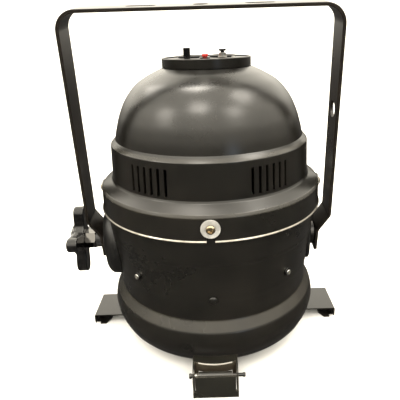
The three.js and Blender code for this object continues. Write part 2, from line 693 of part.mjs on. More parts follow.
// A four-armed hand knob with a thicker hub, lying against x = face.
function crossKnob(face) {
  const arm = new THREE.Shape();
  const [reach, half, neck] = [35, 7.4, 9.5];
  const tip = reach - half;
  for (let i = 0; i < 4; i += 1) {
    const turn = radians(KNOB_TURN) + i * Math.PI / 2;
    const local = armOutline(tip, half, neck);
    local.forEach(([x, y], j) => {
      const px = x * Math.cos(turn) - y * Math.sin(turn);
      const py = x * Math.sin(turn) + y * Math.cos(turn);
      if (i === 0 && j === 0) arm.moveTo(px, py);
      else arm.lineTo(px, py);
    });
  }
  arm.closePath();
  const bevel = 1.3;
  const blade = new THREE.ExtrudeGeometry(arm, {
    depth: 11 - 2 * bevel,
    bevelEnabled: true,
    bevelThickness: bevel,
    bevelSize: bevel,
    bevelOffset: -bevel,
    bevelSegments: 1,
  }).translate(0, 0, bevel);
  const hub = turned([[0, 0.5], [14.5, 0.5], [14.5, 11], [12.5, 14], [8, 15.3], [0, 15.3]], 24);
  const bore = rod(4.2, -1, 8.4, 16);
  return cut(join(blade, hub), bore).rotate([0, -90, 0]).translate([face, 0, PIVOT_Z]);
}

// One arm along +X: a neck that widens into a round tip.
function armOutline(tip, half, neck) {
  const points = [[neck, -neck + 0.6], [neck + 5, -half + 0.9], [tip - 6, -half]];
  for (let i = -3; i <= 3; i += 1) {
    const angle = i * Math.PI / 6;
    points.push([tip + half * Math.cos(angle), half * Math.sin(angle)]);
  }
  return [...points, [tip - 6, half], [neck + 5, half - 0.9]];
}
tiltHardware();

// ---------------------------------------------------------------- yoke
function yokeOutline() {
  const half = [
    [LOWER_HALF, -13.7], [LOWER_HALF, 10.5], [UPPER_HALF, 28], [TOP_HALF, YOKE_HEIGHT - BAR_THICKNESS / 2],
  ];
  const corner = half[3];
  const before = half[2];
  const radius = 15;
  const down = new THREE.Vector2(before[0] - corner[0], before[1] - corner[1]).normalize();
  const curve = [];
  const start = [corner[0] + down.x * radius, corner[1] + down.y * radius];
  for (let i = 0; i <= 8; i += 1) {
    const t = i / 8;
    const [a, b, c] = [(1 - t) ** 2, 2 * t * (1 - t), t ** 2];
    curve.push([
      a * start[0] + b * corner[0] + c * (corner[0] - radius),
      a * start[1] + b * corner[1] + c * corner[1],
    ]);
  }
  const right = [...half.slice(0, 3), ...curve];
  const left = right.map(([x, z]) => [-x, z]).reverse();
  const centre = [...right, ...left];
  const outer = offsetInwards(centre, -BAR_THICKNESS / 2);
  const inner = offsetInwards(centre, BAR_THICKNESS / 2).reverse();
  return [...outer, ...inner];
}

function yoke() {
  const bar = section(yokeOutline(), BAR_WIDTH);
  const pivotHoles = alongX(rod(PIVOT_HOLE_R, -130, 130, 16), 1);
  const safetyHole = alongX(rod(SAFETY_HOLE_R, 105, 130, 20), 1).translate(0, 0, SAFETY_HOLE_HEIGHT);
  const clampHole = rod(6.2, YOKE_HEIGHT - 6, YOKE_HEIGHT + 3, 20);
  const slots = [-48, 48].map((centre) => {
    const [bottom, top] = [YOKE_HEIGHT - 6, YOKE_HEIGHT + 3];
    const middle = block([centre - 8, centre + 8], [-4.3, 4.3], [bottom, top]);
    const ends = [centre - 8, centre + 8].map((x) => rod(4.3, bottom, top, 12).translate(x, 0, 0));
    return join(middle, ...ends);
  });
  return cut(bar, pivotHoles, safetyHole, clampHole, ...slots);
}

const tilt = new THREE.Group();
tilt.position.set(YOKE_SHIFT, 0, PIVOT_Z);
tilt.rotation.x = radians(YOKE_LEAN);
object.add(tilt);
add('yoke', yoke(), blackPaint, tilt);

export default object;
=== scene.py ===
import json
import math
import random

import bmesh
import bpy
import numpy as np
from mathutils import Matrix, Vector


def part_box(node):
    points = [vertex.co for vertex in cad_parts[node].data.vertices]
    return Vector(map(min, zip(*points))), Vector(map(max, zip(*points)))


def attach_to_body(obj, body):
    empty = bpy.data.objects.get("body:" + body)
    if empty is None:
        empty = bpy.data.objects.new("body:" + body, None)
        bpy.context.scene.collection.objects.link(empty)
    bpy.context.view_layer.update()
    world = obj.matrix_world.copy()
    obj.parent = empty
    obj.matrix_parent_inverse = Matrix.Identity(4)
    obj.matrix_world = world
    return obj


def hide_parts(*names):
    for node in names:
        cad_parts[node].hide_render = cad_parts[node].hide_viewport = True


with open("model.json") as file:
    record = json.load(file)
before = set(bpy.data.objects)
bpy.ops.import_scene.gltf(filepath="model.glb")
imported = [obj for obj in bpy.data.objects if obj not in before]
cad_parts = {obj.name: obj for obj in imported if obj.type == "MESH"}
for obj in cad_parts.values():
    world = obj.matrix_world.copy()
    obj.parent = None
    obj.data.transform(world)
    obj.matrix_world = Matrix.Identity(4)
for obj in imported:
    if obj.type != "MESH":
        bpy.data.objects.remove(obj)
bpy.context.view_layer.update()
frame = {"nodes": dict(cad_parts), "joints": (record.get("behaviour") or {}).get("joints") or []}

# All shapes are drawn in millimetres and stored in metres.
MM = 0.001
ROUND = 200  # segments of the large shells


# ---------------------------------------------------------------- places in the frame
def node_box(node):
    low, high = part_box(node)
    return low / MM, high / MM


def joint_place(name):
    joint = next(j for j in frame["joints"] if j["name"] == name)
    return Vector(joint["pos_m"]) / MM


PIVOT = joint_place("yoke_tilt")
LATCH_PIN = joint_place("latch_open")
PANEL_TOP = node_box("rear_panel")[1].z
COLLAR_LOW, COLLAR_HIGH = node_box("panel_collar")
CAN_HIGH = node_box("front_can")[1]
HOUSING_LOW = node_box("rear_housing")[0]


# ---------------------------------------------------------------- node helpers
class Look:
    """A procedural material with short calls for the nodes it needs."""

    def __init__(self, name, **sockets):
        self.material = bpy.data.materials.new(name)
        self.material.use_nodes = True
        self.tree = self.material.node_tree
        self.shader = self.tree.nodes["Principled BSDF"]
        for socket, value in sockets.items():
            self.shader.inputs[socket.replace("_", " ")].default_value = value

    def node(self, kind, **settings):
        node = self.tree.nodes.new(kind)
        for key, value in settings.items():
            setattr(node, key, value)
        return node

    def join(self, source, target):
        self.tree.links.new(source, target)

    def feed(self, socket, value):
        """Sets a socket to a number or links it to another socket."""
        if isinstance(value, bpy.types.NodeSocket):
            self.join(value, socket)
        else:
            socket.default_value = value

    def coordinates(self, stretch=(1, 1, 1)):
        place = self.node("ShaderNodeTexCoord")
        mapping = self.node("ShaderNodeMapping")
        mapping.inputs["Scale"].default_value = stretch
        self.join(place.outputs["Object"], mapping.inputs["Vector"])
        return mapping.outputs["Vector"]

    def noise(self, scale, detail=4, roughness=0.55, stretch=(1, 1, 1), distortion=0):
        node = self.node("ShaderNodeTexNoise")
        node.inputs["Scale"].default_value = scale
        node.inputs["Detail"].default_value = detail
        node.inputs["Roughness"].default_value = roughness
        node.inputs["Distortion"].default_value = distortion
        self.join(self.coordinates(stretch), node.inputs["Vector"])
        return node.outputs["Fac"]

    def cells(self, scale, stretch=(1, 1, 1), feature="F1"):
        node = self.node("ShaderNodeTexVoronoi", feature=feature)
        node.inputs["Scale"].default_value = scale
        self.join(self.coordinates(stretch), node.inputs["Vector"])
        return node.outputs["Distance"]

    def height(self):
        """The object's own Z."""
        split = self.node("ShaderNodeSeparateXYZ")
        self.join(self.node("ShaderNodeTexCoord").outputs["Object"], split.inputs["Vector"])
        return split.outputs["Z"]

    def math(self, operation, first, second=0.0, clamp=False):
        node = self.node("ShaderNodeMath", operation=operation, use_clamp=clamp)
        self.feed(node.inputs[0], first)
        self.feed(node.inputs[1], second)
        return node.outputs["Value"]

    def band(self, value, low, high, out_low=0.0, out_high=1.0):
        node = self.node("ShaderNodeMapRange", interpolation_type="SMOOTHSTEP")
        self.join(value, node.inputs["Value"])
        for socket, number in zip(
            ("From Min", "From Max", "To Min", "To Max"), (low, high, out_low, out_high)
        ):
            node.inputs[socket].default_value = number
        return node.outputs["Result"]

    def mix(self, share, first, second):
        node = self.node("ShaderNodeMix", data_type="RGBA")
        self.feed(node.inputs["Factor"], share)
        for socket, colour in ((node.inputs["A"], first), (node.inputs["B"], second)):
            if isinstance(colour, bpy.types.NodeSocket):
                self.join(colour, socket)
            else:
                socket.default_value = (*colour, 1)
        return node.outputs["Result"]

    def blend(self, share, first, second):
        node = self.node("ShaderNodeMix", data_type="FLOAT")
        self.feed(node.inputs["Factor"], share)
        self.feed(node.inputs["A"], first)
        self.feed(node.inputs["B"], second)
        return node.outputs["Result"]

    def edges(self, radius, low, high):
        """1 on edges tighter than the radius in metres, 0 on flat ground."""
        bevel = self.node("ShaderNodeBevel", samples=6)
        bevel.inputs["Radius"].default_value = radius
        geometry = self.node("ShaderNodeNewGeometry")
        dot = self.node("ShaderNodeVectorMath", operation="DOT_PRODUCT")
        self.join(bevel.outputs["Normal"], dot.inputs[0])
        self.join(geometry.outputs["True Normal"], dot.inputs[1])
        return self.band(self.math("SUBTRACT", 1.0, dot.outputs["Value"]), low, high)

    def bump(self, height, distance, strength=1.0, under=None):
        node = self.node("ShaderNodeBump")
        node.inputs["Strength"].default_value = strength
        node.inputs["Distance"].default_value = distance
        self.join(height, node.inputs["Height"])
        if under is not None:
            self.join(under, node.inputs["Normal"])
        return node.outputs["Normal"]

    def colour(self, value):
        self.join(value, self.shader.inputs["Base Color"])

    def roughness(self, value):
        self.join(value, self.shader.inputs["Roughness"])

    def metallic(self, value):
        self.join(value, self.shader.inputs["Metallic"])

    def normal(self, value):
        self.join(value, self.shader.inputs["Normal"])


# ---------------------------------------------------------------- materials
def enamel(name, spun, wear, deep=(0.0042, 0.0039, 0.0032), light=(0.0072, 0.0065, 0.0052), gloss=0.27):
    """Satin black enamel over bare metal: mottled, scuffed, and rubbed through where it is worn."""
    look = Look(name, Specular_IOR_Level=0.5)
    mottle = look.noise(38, 3, 0.5)
    grime = look.noise(11, 3, 0.5, distortion=0.6)
    base = look.mix(look.band(mottle, 0.2, 0.9), deep, light)
    base = look.mix(look.band(grime, 0.40, 0.9, 0, 0.25), base, (0.017, 0.012, 0.008))
    scratches = look.band(look.noise(420, 2, 0.5, (1, 1, 0.06)), 0.72, 0.80, 0, 0.08)
    base = look.mix(scratches, base, (0.035, 0.032, 0.029))
    edge = look.edges(0.0007, 0.06, 0.3)
    rub = look.band(look.noise(160, 5, 0.7), 0.68 - 0.3 * wear, 0.86 - 0.3 * wear)
    bare = look.math("MULTIPLY", edge, rub)
    look.colour(look.mix(bare, base, (0.30, 0.27, 0.23)))
    look.metallic(look.math("MULTIPLY", bare, 0.85))
    sheen = look.blend(look.band(grime, 0.35, 0.75), gloss, gloss + 0.07)
    sheen = look.blend(look.band(look.noise(90, 3, 0.5), 0.4, 0.9), sheen, gloss + 0.05)
    look.roughness(look.blend(bare, sheen, 0.34))
    peel = look.bump(look.noise(1100, 2, 0.5), 0.00002, 0.35)
    waves = look.bump(look.noise(70, 2, 0.4), 0.0003, 0.10, peel)
    if spun:
        rings = look.noise(1, 1, 0.5, (2, 2, 420))
        waves = look.bump(rings, 0.00004, 0.15, waves)
    look.normal(look.bump(bare, -0.00008, 0.6, waves))
    return look.material


def plated(name, base, stain, roughness, blotch=60):
    """Plated steel: cloudy plating, small dark spots, paler rubbed edges and a fine grain."""
    look = Look(name, Metallic=1.0)
    cloud = look.noise(blotch, 6, 0.65)
    colour = look.mix(look.band(cloud, 0.4, 0.75, 0, 0.8), base, stain)
    spots = look.band(look.cells(800), 0.16, 0.08, 0, 0.5)
    colour = look.mix(spots, colour, tuple(0.45 * c for c in base))
    rubbed = look.edges(0.0004, 0.04, 0.25)
    look.colour(look.mix(rubbed, colour, tuple(min(1, 1.25 * c) for c in base)))
    grain = look.noise(2600, 3, 0.6)
    look.roughness(look.blend(cloud, roughness - 0.07, roughness + 0.13))
    look.normal(look.bump(grain, 0.00002, 0.4))
    return look.material


def polished(name):
    """Bright nickel plate with fine hairlines along the turning marks."""
    look = Look(name, Metallic=1.0)
    hair = look.noise(700, 3, 0.6, (0.05, 1, 1))
    stain = look.band(look.noise(45, 4, 0.6), 0.45, 0.85)
    look.colour(look.mix(stain, (0.14, 0.135, 0.13), (0.065, 0.06, 0.05)))
    look.roughness(look.blend(hair, 0.08, 0.15))
    look.normal(look.bump(hair, 0.000004, 0.25))
    return look.material


def moulded(name, base, roughness, grain, wear=(0.10, 0.10, 0.10), scuff=0.4):
    """Moulded plastic: fine grain, dull scuffs and paler edges."""
    look = Look(name)
    cloud = look.noise(90, 5, 0.6)
    lighter = tuple(min(1, c * 1.7 + 0.002) for c in base)
    colour = look.mix(look.band(cloud, 0.4, 0.75), base, lighter)
    scuffs = look.band(look.noise(300, 5, 0.75, (1, 0.35, 1)), 0.60, 0.72, 0, scuff)
    edge = look.edges(0.0006, 0.05, 0.3)
    worn = look.math("MULTIPLY", edge, look.band(look.noise(210, 4), 0.42, 0.62))
    colour = look.mix(look.math("MULTIPLY", worn, 0.6), colour, wear)
    look.colour(colour)
    look.roughness(look.math("ADD", look.blend(scuffs, roughness, roughness + 0.25), 0.0))
    look.normal(look.bump(look.noise(grain, 2, 0.5), 0.00004, 0.35))
    return look.material


def rubber_look():
    look = Look("black_rubber_look", Specular_IOR_Level=0.5)
    dust = look.band(look.noise(130, 6, 0.7), 0.45, 0.8)
    look.colour(look.mix(dust, (0.004, 0.004, 0.004), (0.012, 0.0112, 0.0096)))
    look.roughness(look.blend(dust, 0.42, 0.6))
    look.normal(look.bump(look.noise(1600, 3), 0.00005, 0.5))
    return look.material


def panel_look():
    """Powder-coated plate, slightly grainy, with paler dusty patches."""
    look = Look("panel_coat_look")
    dust = look.band(look.noise(210, 6, 0.7), 0.42, 0.8)
    look.colour(look.mix(dust, (0.009, 0.009, 0.0095), (0.028, 0.026, 0.023)))
    look.roughness(look.blend(dust, 0.30, 0.52))
    look.normal(look.bump(look.cells(1500), 0.00005, 0.35))
    return look.material


def lens_look():
    """Clear plastic front lens with faint dust and rubbing marks."""
    look = Look("clear_lens_look", IOR=1.49, Transmission_Weight=1.0)
    dust = look.band(look.noise(60, 7, 0.7), 0.5, 0.85)
    look.colour(look.mix(dust, (0.97, 0.98, 0.99), (0.86, 0.86, 0.84)))
    look.roughness(look.blend(dust, 0.02, 0.16))
    look.normal(look.bump(look.noise(340, 3), 0.00002, 0.12))
    return look.material


def board_look(name, mask, copper):
    """A printed board: mask colour with raised tracks."""
    look = Look(name)
    tracks = look.band(look.cells(260, (1, 1, 0.1), "DISTANCE_TO_EDGE"), 0.06, 0.09)
    look.colour(look.mix(tracks, copper, mask))
    look.roughness(look.blend(look.noise(200), 0.35, 0.55))
    look.normal(look.bump(tracks, 0.00004, 0.4))
    return look.material


def floor_look():
    look = Look("pale_floor_look")
    cloud = look.noise(2.2, 4, 0.5)
    look.colour(look.mix(cloud, (0.80, 0.80, 0.80), (0.84, 0.84, 0.835)))
    look.roughness(look.blend(cloud, 0.6, 0.75))
    look.normal(look.bump(look.noise(600, 3), 0.00003, 0.2))
    return look.material


# These three looks and the shoulder enamel below them are painted highlights, paler than the paint round
# them.
APRON_WEAR_AND_HIGHLIGHT = enamel("apron_wear_and_painted_highlight_look", False, 0.9, (0.038, 0.030, 0.021), (0.066, 0.055, 0.040), 0.38)
RIM_HIGHLIGHT = plated("rim_painted_highlight_look", (0.36, 0.34, 0.30), (0.16, 0.145, 0.12), 0.30, 150)
EDGE_HIGHLIGHT = moulded("edge_painted_highlight_look", (0.50, 0.48, 0.44), 0.30, 900, (0.20, 0.18, 0.15))
SPUN = enamel("spun_enamel_look", True, 0.25)
ENAMEL = enamel("bar_enamel_look", False, 0.40)
YOKE_ENAMEL = enamel("yoke_enamel_look", False, 0.40, (0.0062, 0.0049, 0.0037), (0.0112, 0.0080, 0.0055))
# Paler enamel for the narrow shoulders of the spun shells: a painted highlight.
SHOULDER_HIGHLIGHT = enamel(
    "shoulder_painted_highlight_look", True, 0.35, (0.014, 0.013, 0.0108), (0.026, 0.024, 0.0195), 0.24
)
LATCH_ENAMEL = enamel(
    "latch_enamel_look", False, 0.95, (0.0070, 0.0068, 0.0056), (0.0120, 0.0115, 0.0090)
)
ZINC = plated("zinc_plate_look", (0.66, 0.65, 0.61), (0.47, 0.45, 0.40), 0.30)
BRASSY = plated("yellow_zinc_look", (0.62, 0.50, 0.33), (0.30, 0.20, 0.12), 0.26, 180)
DARK_STEEL = plated("blackened_steel_look", (0.055, 0.055, 0.055), (0.11, 0.10, 0.085), 0.34)
NICKEL = polished("bright_nickel_look")
KNOB = moulded("gloss_knob_look", (0.0030, 0.0029, 0.0030), 0.14, 500, scuff=0.15)
PALE_WASHER = moulded("pale_washer_look", (0.20, 0.197, 0.188), 0.34, 900, (0.16, 0.15, 0.13))
NYLON = moulded("grained_nylon_look", (0.014, 0.014, 0.015), 0.42, 1700)
RED = moulded("red_key_look", (0.52, 0.020, 0.012), 0.28, 900, (0.75, 0.25, 0.2))
RUBBER = rubber_look()
PANEL = panel_look()
LENS = lens_look()
ALUMINIUM = plated("extruded_aluminium_look", (0.70, 0.70, 0.71), (0.55, 0.55, 0.56), 0.34)
LED_BOARD = board_look("led_board_look", (0.80, 0.80, 0.77), (0.72, 0.71, 0.66))
CIRCUIT = board_look("circuit_board_look", (0.015, 0.10, 0.035), (0.03, 0.19, 0.07))


# ---------------------------------------------------------------- outlines
def spline(points, steps):
    """A Catmull-Rom curve through the points, with that many steps between neighbours."""
    result = []
    last = len(points) - 1
    for i in range(last):
        p0, p1, p2, p3 = (
            np.array(points[min(max(j, 0), last)], float) for j in (i - 1, i, i + 1, i + 2)
        )
        for k in range(steps):
            t = k / steps
            v0, v1 = (p2 - p0) / 2, (p3 - p1) / 2
            cubic = 2 * p1 - 2 * p2 + v0 + v1
            square = -3 * p1 + 3 * p2 - 2 * v0 - v1
            value = cubic * t**3 + square * t**2 + v0 * t + p1
            result.append(tuple(value))
    return [*result, tuple(points[-1])]


def filleted(points, radius, steps=5, closed=True):
    """Rounds an outline's corners. radius is one number, or one for each corner."""
    count = len(points)
    result = []
    for i, corner in enumerate(points):
        wanted = radius[i] if hasattr(radius, "__len__") else radius
        here = Vector(corner)
        before, after = Vector(points[i - 1]), Vector(points[(i + 1) % count])
        if wanted <= 0 or (not closed and i in (0, count - 1)):
            result.append(tuple(here))
            continue
        back, ahead = before - here, after - here
        half = back.angle(ahead) / 2
        if half > math.radians(87):
            result.append(tuple(here))
            continue
        reach = min(wanted / math.tan(half), 0.48 * back.length, 0.48 * ahead.length)
        back.normalize()
        ahead.normalize()
        centre = here + (back + ahead).normalized() * (reach / math.cos(half))
        start, end = here + back * reach - centre, here + ahead * reach - centre
        sweep = start.angle(end)
        for k in range(steps + 1):
            t = k / steps
            arm = start * math.sin((1 - t) * sweep) + end * math.sin(t * sweep)
            result.append(tuple(centre + arm / math.sin(sweep)))
    return result


def inset(points, distance, closed=True):
    """Moves each point sideways, to the left of the outline's direction."""
    count = len(points)
    result = []
    for i, point in enumerate(points):
        before = points[i - 1] if closed or i else point
        after = points[(i + 1) % count] if closed or i < count - 1 else point
        along = Vector((after[0] - before[0], after[1] - before[1])).normalized()
        result.append((point[0] - along.y * distance, point[1] + along.x * distance))
    return result


# ---------------------------------------------------------------- meshes
def build(name, vertices, faces, look):
    mesh = bpy.data.meshes.new(name)
    mesh.from_pydata([Vector(v) * MM for v in vertices], [], faces)
    obj = bpy.data.objects.new(name, mesh)
    bpy.context.scene.collection.objects.link(obj)
    if look is not None:
        mesh.materials.append(look)
    shape = bmesh.new()
    shape.from_mesh(mesh)
    bmesh.ops.remove_doubles(shape, verts=shape.verts, dist=1e-7)
    bmesh.ops.dissolve_degenerate(shape, edges=shape.edges, dist=1e-7)
    bmesh.ops.recalc_face_normals(shape, faces=shape.faces)
    shape.to_mesh(mesh)
    shape.free()
    return obj


def revolve(name, outline, look=None, segments=ROUND):
    """Turns a closed [radius, height] outline about the local Z axis."""
    vertices, faces, rings = [], [], []
    for radius, height in outline:
        first = len(vertices)
        if radius < 1e-4:
            vertices.append((0, 0, height))
            rings.append([first] * segments)
            continue
        for k in range(segments):
            angle = 2 * math.pi * k / segments
            vertices.append((radius * math.cos(angle), radius * math.sin(angle), height))
        rings.append(list(range(first, first + segments)))
    for i, ring in enumerate(rings):
        following = rings[(i + 1) % len(rings)]
        if ring[0] == ring[1] and following[0] == following[1]:
            continue
        for k in range(segments):
            n = (k + 1) % segments
            corners = [ring[k], ring[n], following[n], following[k]]
            faces.append(list(dict.fromkeys(corners)))
    return build(name, vertices, faces, look)


def prism(name, outline, bottom, top, look=None):
    """Extrudes a closed XY outline from bottom to top."""
    count = len(outline)
    vertices = [(x, y, z) for z in (bottom, top) for x, y in outline]
    faces = [list(range(count)), list(range(count, 2 * count))]
    faces += [[k, (k + 1) % count, (k + 1) % count + count, k + count] for k in range(count)]
    return build(name, vertices, faces, look)


def cuboid(name, low, high, look=None):
    outline = [(low[0], low[1]), (high[0], low[1]), (high[0], high[1]), (low[0], high[1])]
    return prism(name, outline, low[2], high[2], look)


def circle(radius, count, centre=(0, 0)):
    angles = [2 * math.pi * k / count for k in range(count)]
    return [(centre[0] + radius * math.cos(a), centre[1] + radius * math.sin(a)) for a in angles]


def cylinder(name, radius, bottom, top, look=None, count=48, centre=(0, 0)):
    return prism(name, circle(radius, count, centre), bottom, top, look)


def applied(obj):
    """Turns the modifiers into plain mesh."""
    bpy.context.view_layer.update()
    evaluated = obj.evaluated_get(bpy.context.evaluated_depsgraph_get())
    mesh = bpy.data.meshes.new_from_object(evaluated)
    obj.modifiers.clear()
    obj.data = mesh
    return obj


def combined(obj, tools, operation):
    for tool in tools:
        modifier = obj.modifiers.new("boolean", "BOOLEAN")
        modifier.operation = operation
        modifier.solver = "EXACT"
        modifier.object = tool
    applied(obj)
    for tool in tools:
        bpy.data.objects.remove(tool)
    return obj


def cut(obj, *tools):
    return combined(obj, tools, "DIFFERENCE")


def fuse(obj, *tools):
    return combined(obj, tools, "UNION")


def rounded(obj, width, segments=3, angle=30):
    """Rounds all edges sharper than the angle."""
    modifier = obj.modifiers.new("bevel", "BEVEL")
    modifier.width = width * MM
    modifier.segments = segments
    modifier.limit_method = "ANGLE"
    modifier.angle_limit = math.radians(angle)
    modifier.miter_outer = "MITER_ARC"
    modifier.use_clamp_overlap = True
    return applied(obj)


def smooth(obj, angle=38, weighted=True):
    mesh = obj.data
    mesh.polygons.foreach_set("use_smooth", [True] * len(mesh.polygons))
    mesh.set_sharp_from_angle(angle=math.radians(angle))
    if weighted:
        modifier = obj.modifiers.new("normals", "WEIGHTED_NORMAL")
        modifier.keep_sharp = True
        applied(obj)
    return obj


def placed(obj, matrix):
    obj.matrix_world = matrix
    bpy.context.view_layer.update()
    return obj


def at(x, y, z):
    return Matrix.Translation(Vector((x, y, z)) * MM)


def axes(x, y, z, origin):
    """A matrix whose local axes are x, y and z, at an origin in millimetres."""
    matrix = Matrix((x, y, z)).transposed().to_4x4()
    matrix.translation = Vector(origin) * MM
    return matrix


def outward(angle, radius, height):
    """Local Z points outwards at an angle from the latch side, local Y points up."""
    a = math.radians(angle)
    return axes(
        (math.cos(a), math.sin(a), 0), (0, 0, 1), (math.sin(a), -math.cos(a), 0),
        (radius * math.sin(a), -radius * math.cos(a), height),
    )


def about_tilt(x=0.0, sign=1):
    """Local Z along the tilt axis, towards +X or -X, from a place x on it."""
    return axes((0, sign, 0), (0, 0, 1), (sign, 0, 0), (x, PIVOT.y, PIVOT.z))


def attach(obj, body, slot, *nodes):
    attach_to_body(obj, body)
    if nodes:
        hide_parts(*nodes)
    return obj


LAMP = "lamp_body"

# ---------------------------------------------------------------- front can
SHEET = 1.5
WALL = 1.6
APERTURE = 84
CAN_BULGE = [(93, 12), (97.6, 17), (102.9, 27.5), (104.8, 37), (104.3, 43), (102.9, 48.3)]
CAN_WALL = [(96.4, 58.5), (96.4, 67), (98.4, PIVOT.z), (100.8, 115), (103.1, 135), (103.4, 158)]


def can_curve():
    """The bulge, a straight shoulder that ends in a crease, and the wall above."""
    slope = list(zip(np.linspace(102.9, 96.4, 8)[1:-1], np.linspace(48.3, 58.5, 8)[1:-1]))
    return [*spline(CAN_BULGE, 9), *slope, *spline(CAN_WALL, 14)]


def can_radius(height):
    radii, heights = zip(*can_curve())
    return float(np.interp(height, heights, radii))


BEAD_HEIGHTS = (19.0, 81.0, 115.0)  # low spun steps round the can


def painted_highlight_bands(shell, zones):
    """Gives the outward faces of a spun shell a paler enamel between pairs of heights.

    It stands in for the highlight on a narrow shoulder. The real paint there may be plain black.
    """
    shell.data.materials.append(SHOULDER_HIGHLIGHT)
    for face in shell.data.polygons:
        centre = face.center / MM
        outward_face = face.normal.xy.dot(centre.xy) > 0
        if outward_face and any(low < centre.z < high for low, high in zones):
            face.material_index = len(shell.data.materials) - 1
    return shell


def can_shell():
    curve = can_curve()
    outer = []
    for radius, height in curve:
        step = sum(0.4 * math.exp(-((height - bead) / 0.9) ** 2) for bead in BEAD_HEIGHTS)
        outer.append((radius + step, height))
    rim = filleted([(APERTURE, 12.0), (93, 12.0), outer[3]], 3.0, 6, closed=False)
    outer = [*rim[:-1], *outer[3:]]
    inner = inset(curve, WALL, closed=False)[1:]
    inner = [p for p in inner if p[1] > 12 + WALL + 1]
    inner[-1] = (inner[-1][0], CAN_HIGH.z)
    outline = [
        *outer, *reversed(inner), (92.6, 12 + WALL), (APERTURE + 0.4, 12 + WALL), (APERTURE, 12.8)
    ]
    shell = smooth(revolve("can_shell", outline, SPUN), 40, weighted=False)
    # The cone between the bulge and the waist gets a painted highlight band.
    return painted_highlight_bands(shell, [(49.5, 58.4)])


attach(can_shell(), LAMP, "black_paint", "front_can")

# ---------------------------------------------------------------- rear housing
DOME_CURVE = [
    (88.4, 205.5), (86.1, 215), (82.2, 227), (75.7, 240), (65.4, 252), (52.6, 260), (40.8, 265.4),
]
VENT_GROUPS = (-32, 32, 148, 212)
VENT_PITCH = 4.15
VENTS = 6
FLANGE = 106.2
SCREW_HEIGHT = sum(corner.z for corner in node_box("housing_washer_1")) / 2
INLET_HEIGHT = sum(corner.z for corner in node_box("mains_inlet")) / 2


def housing_shell():
    bore = 103.7
    low = HOUSING_LOW.z
    lip = filleted(
        [(bore, low), (106.9, low), (107.5, low + 0.7), (106.5, low + 2.0), (FLANGE, low + 3.6)],
        [0.3, 0.4, 0.5, 0.5, 0.8], 5, closed=False,
    )
    shoulder = filleted(
        [(FLANGE, low + 3.6), (105.5, 160.2), (104.2, 162.6), (95.4, 168.2), (94.4, 170.2),
        (93.0, 200.6),
         (90.4, 203.4), (88.5, 205.1)],
        [0, 2.4, 1.6, 2.2, 1.6, 2.2, 2.0, 0], 6, closed=False,
    )
    dome = spline(DOME_CURVE, 9)[2:]
    inside = inset(dome, WALL, closed=False)
    outline = [
        *lip, *shoulder[1:], *dome, *reversed(inside), (91.4, 200.4), (92.8, 168), (102.6, 162),
        (bore, 160),
    ]
    shell = revolve("housing_shell", outline, SPUN)
    tools = []
    for group in VENT_GROUPS:
        for k in range(VENTS):
            turn = math.radians(group + (k - (VENTS - 1) / 2) * VENT_PITCH)
            slot = filleted([(-1.25, -100), (1.25, -100), (1.25, -86), (-1.25, -86)], 0, 1)
            tool = prism("vent_tool", slot, 172.2, 194.8)
            tools.append(placed(tool, Matrix.Rotation(turn, 4, "Z")))
    for angle in (0, 90, 180, 270):
        half, top = 3.5, SCREW_HEIGHT - low
        arch = [(-half, -4), (half, -4)]
        arch += [(half * math.cos(a), top + half * math.sin(a)) for a in np.linspace(0, math.pi, 15)]
        tool = prism("notch_tool", arch, -5, 6)
        tools.append(placed(tool, outward(angle, 105, low)))
    tools.append(placed(cylinder("inlet_tool", 12, -12, 12), outward(180, 94, INLET_HEIGHT)))
    shell = smooth(cut(shell, *tools), 34, weighted=False)
    # The rolled lip of the flange gets a pale metal look: a painted highlight.
    shell.data.materials.append(RIM_HIGHLIGHT)
    for face in shell.data.polygons:
        centre = face.center / MM
        rolled = centre.z < low + 1.7 and math.hypot(centre.x, centre.y) > 106.6
        if rolled:
            face.material_index = 1
    # The flange shoulder and the dome's lower shoulder get painted highlight bands.
    return painted_highlight_bands(shell, [(159.6, 162.9), (200.7, 203.3)])


attach(housing_shell(), LAMP, "black_paint", "rear_housing")


# ---------------------------------------------------------------- screws, washers and rivets
def cross_recess(obj, top, reach, width):
    arms = []
    for angle in (0.0, math.pi / 2):
        shape = [(-reach, -width / 2), (reach, -width / 2), (reach, width / 2), (-reach, width / 2)]
        tool = prism("recess_tool", filleted(shape, width * 0.45, 3), top - 1.5, top + 1)
        arms.append(placed(tool, Matrix.Rotation(angle, 4, "Z")))
    core = revolve(
        "recess_core",
        [(0, top - 1.3), (reach * 0.66, top - 1.0), (reach * 0.86, top + 1), (0, top + 1)], segments=24,
    )
    return cut(obj, *arms, core)


def pan_head(name, radius, height, shank, length, look):
    dome = spline(
        [(radius, height * 0.35), (radius * 0.93, height * 0.72),
         (radius * 0.55, height * 0.97), (0, height)],
        6,
    )
    foot = [(0, -length), (shank, -length), (shank, 0), (radius * 0.97, 0), dome[0]]
    foot = filleted(foot, [0, 0.4, 0, 0.25, 0], 3, False)
    head = revolve(name, [*foot[:-1], *dome], look, 56)
    return cross_recess(head, height, radius * 0.64, radius * 0.38)


def washer(name, inner, outer, thickness, look, edge=0.25):
    ring = [(inner, 0), (outer, 0), (outer, thickness), (inner, thickness)]
    return smooth(revolve(name, filleted(ring, edge, 3), look, 72))


def seat_of(node):
    """Radius of the inner face of a washer that lies against the shell."""
    low, high = node_box(node)
    middle = (low + high) / 2
    return middle.xy.length, middle.z


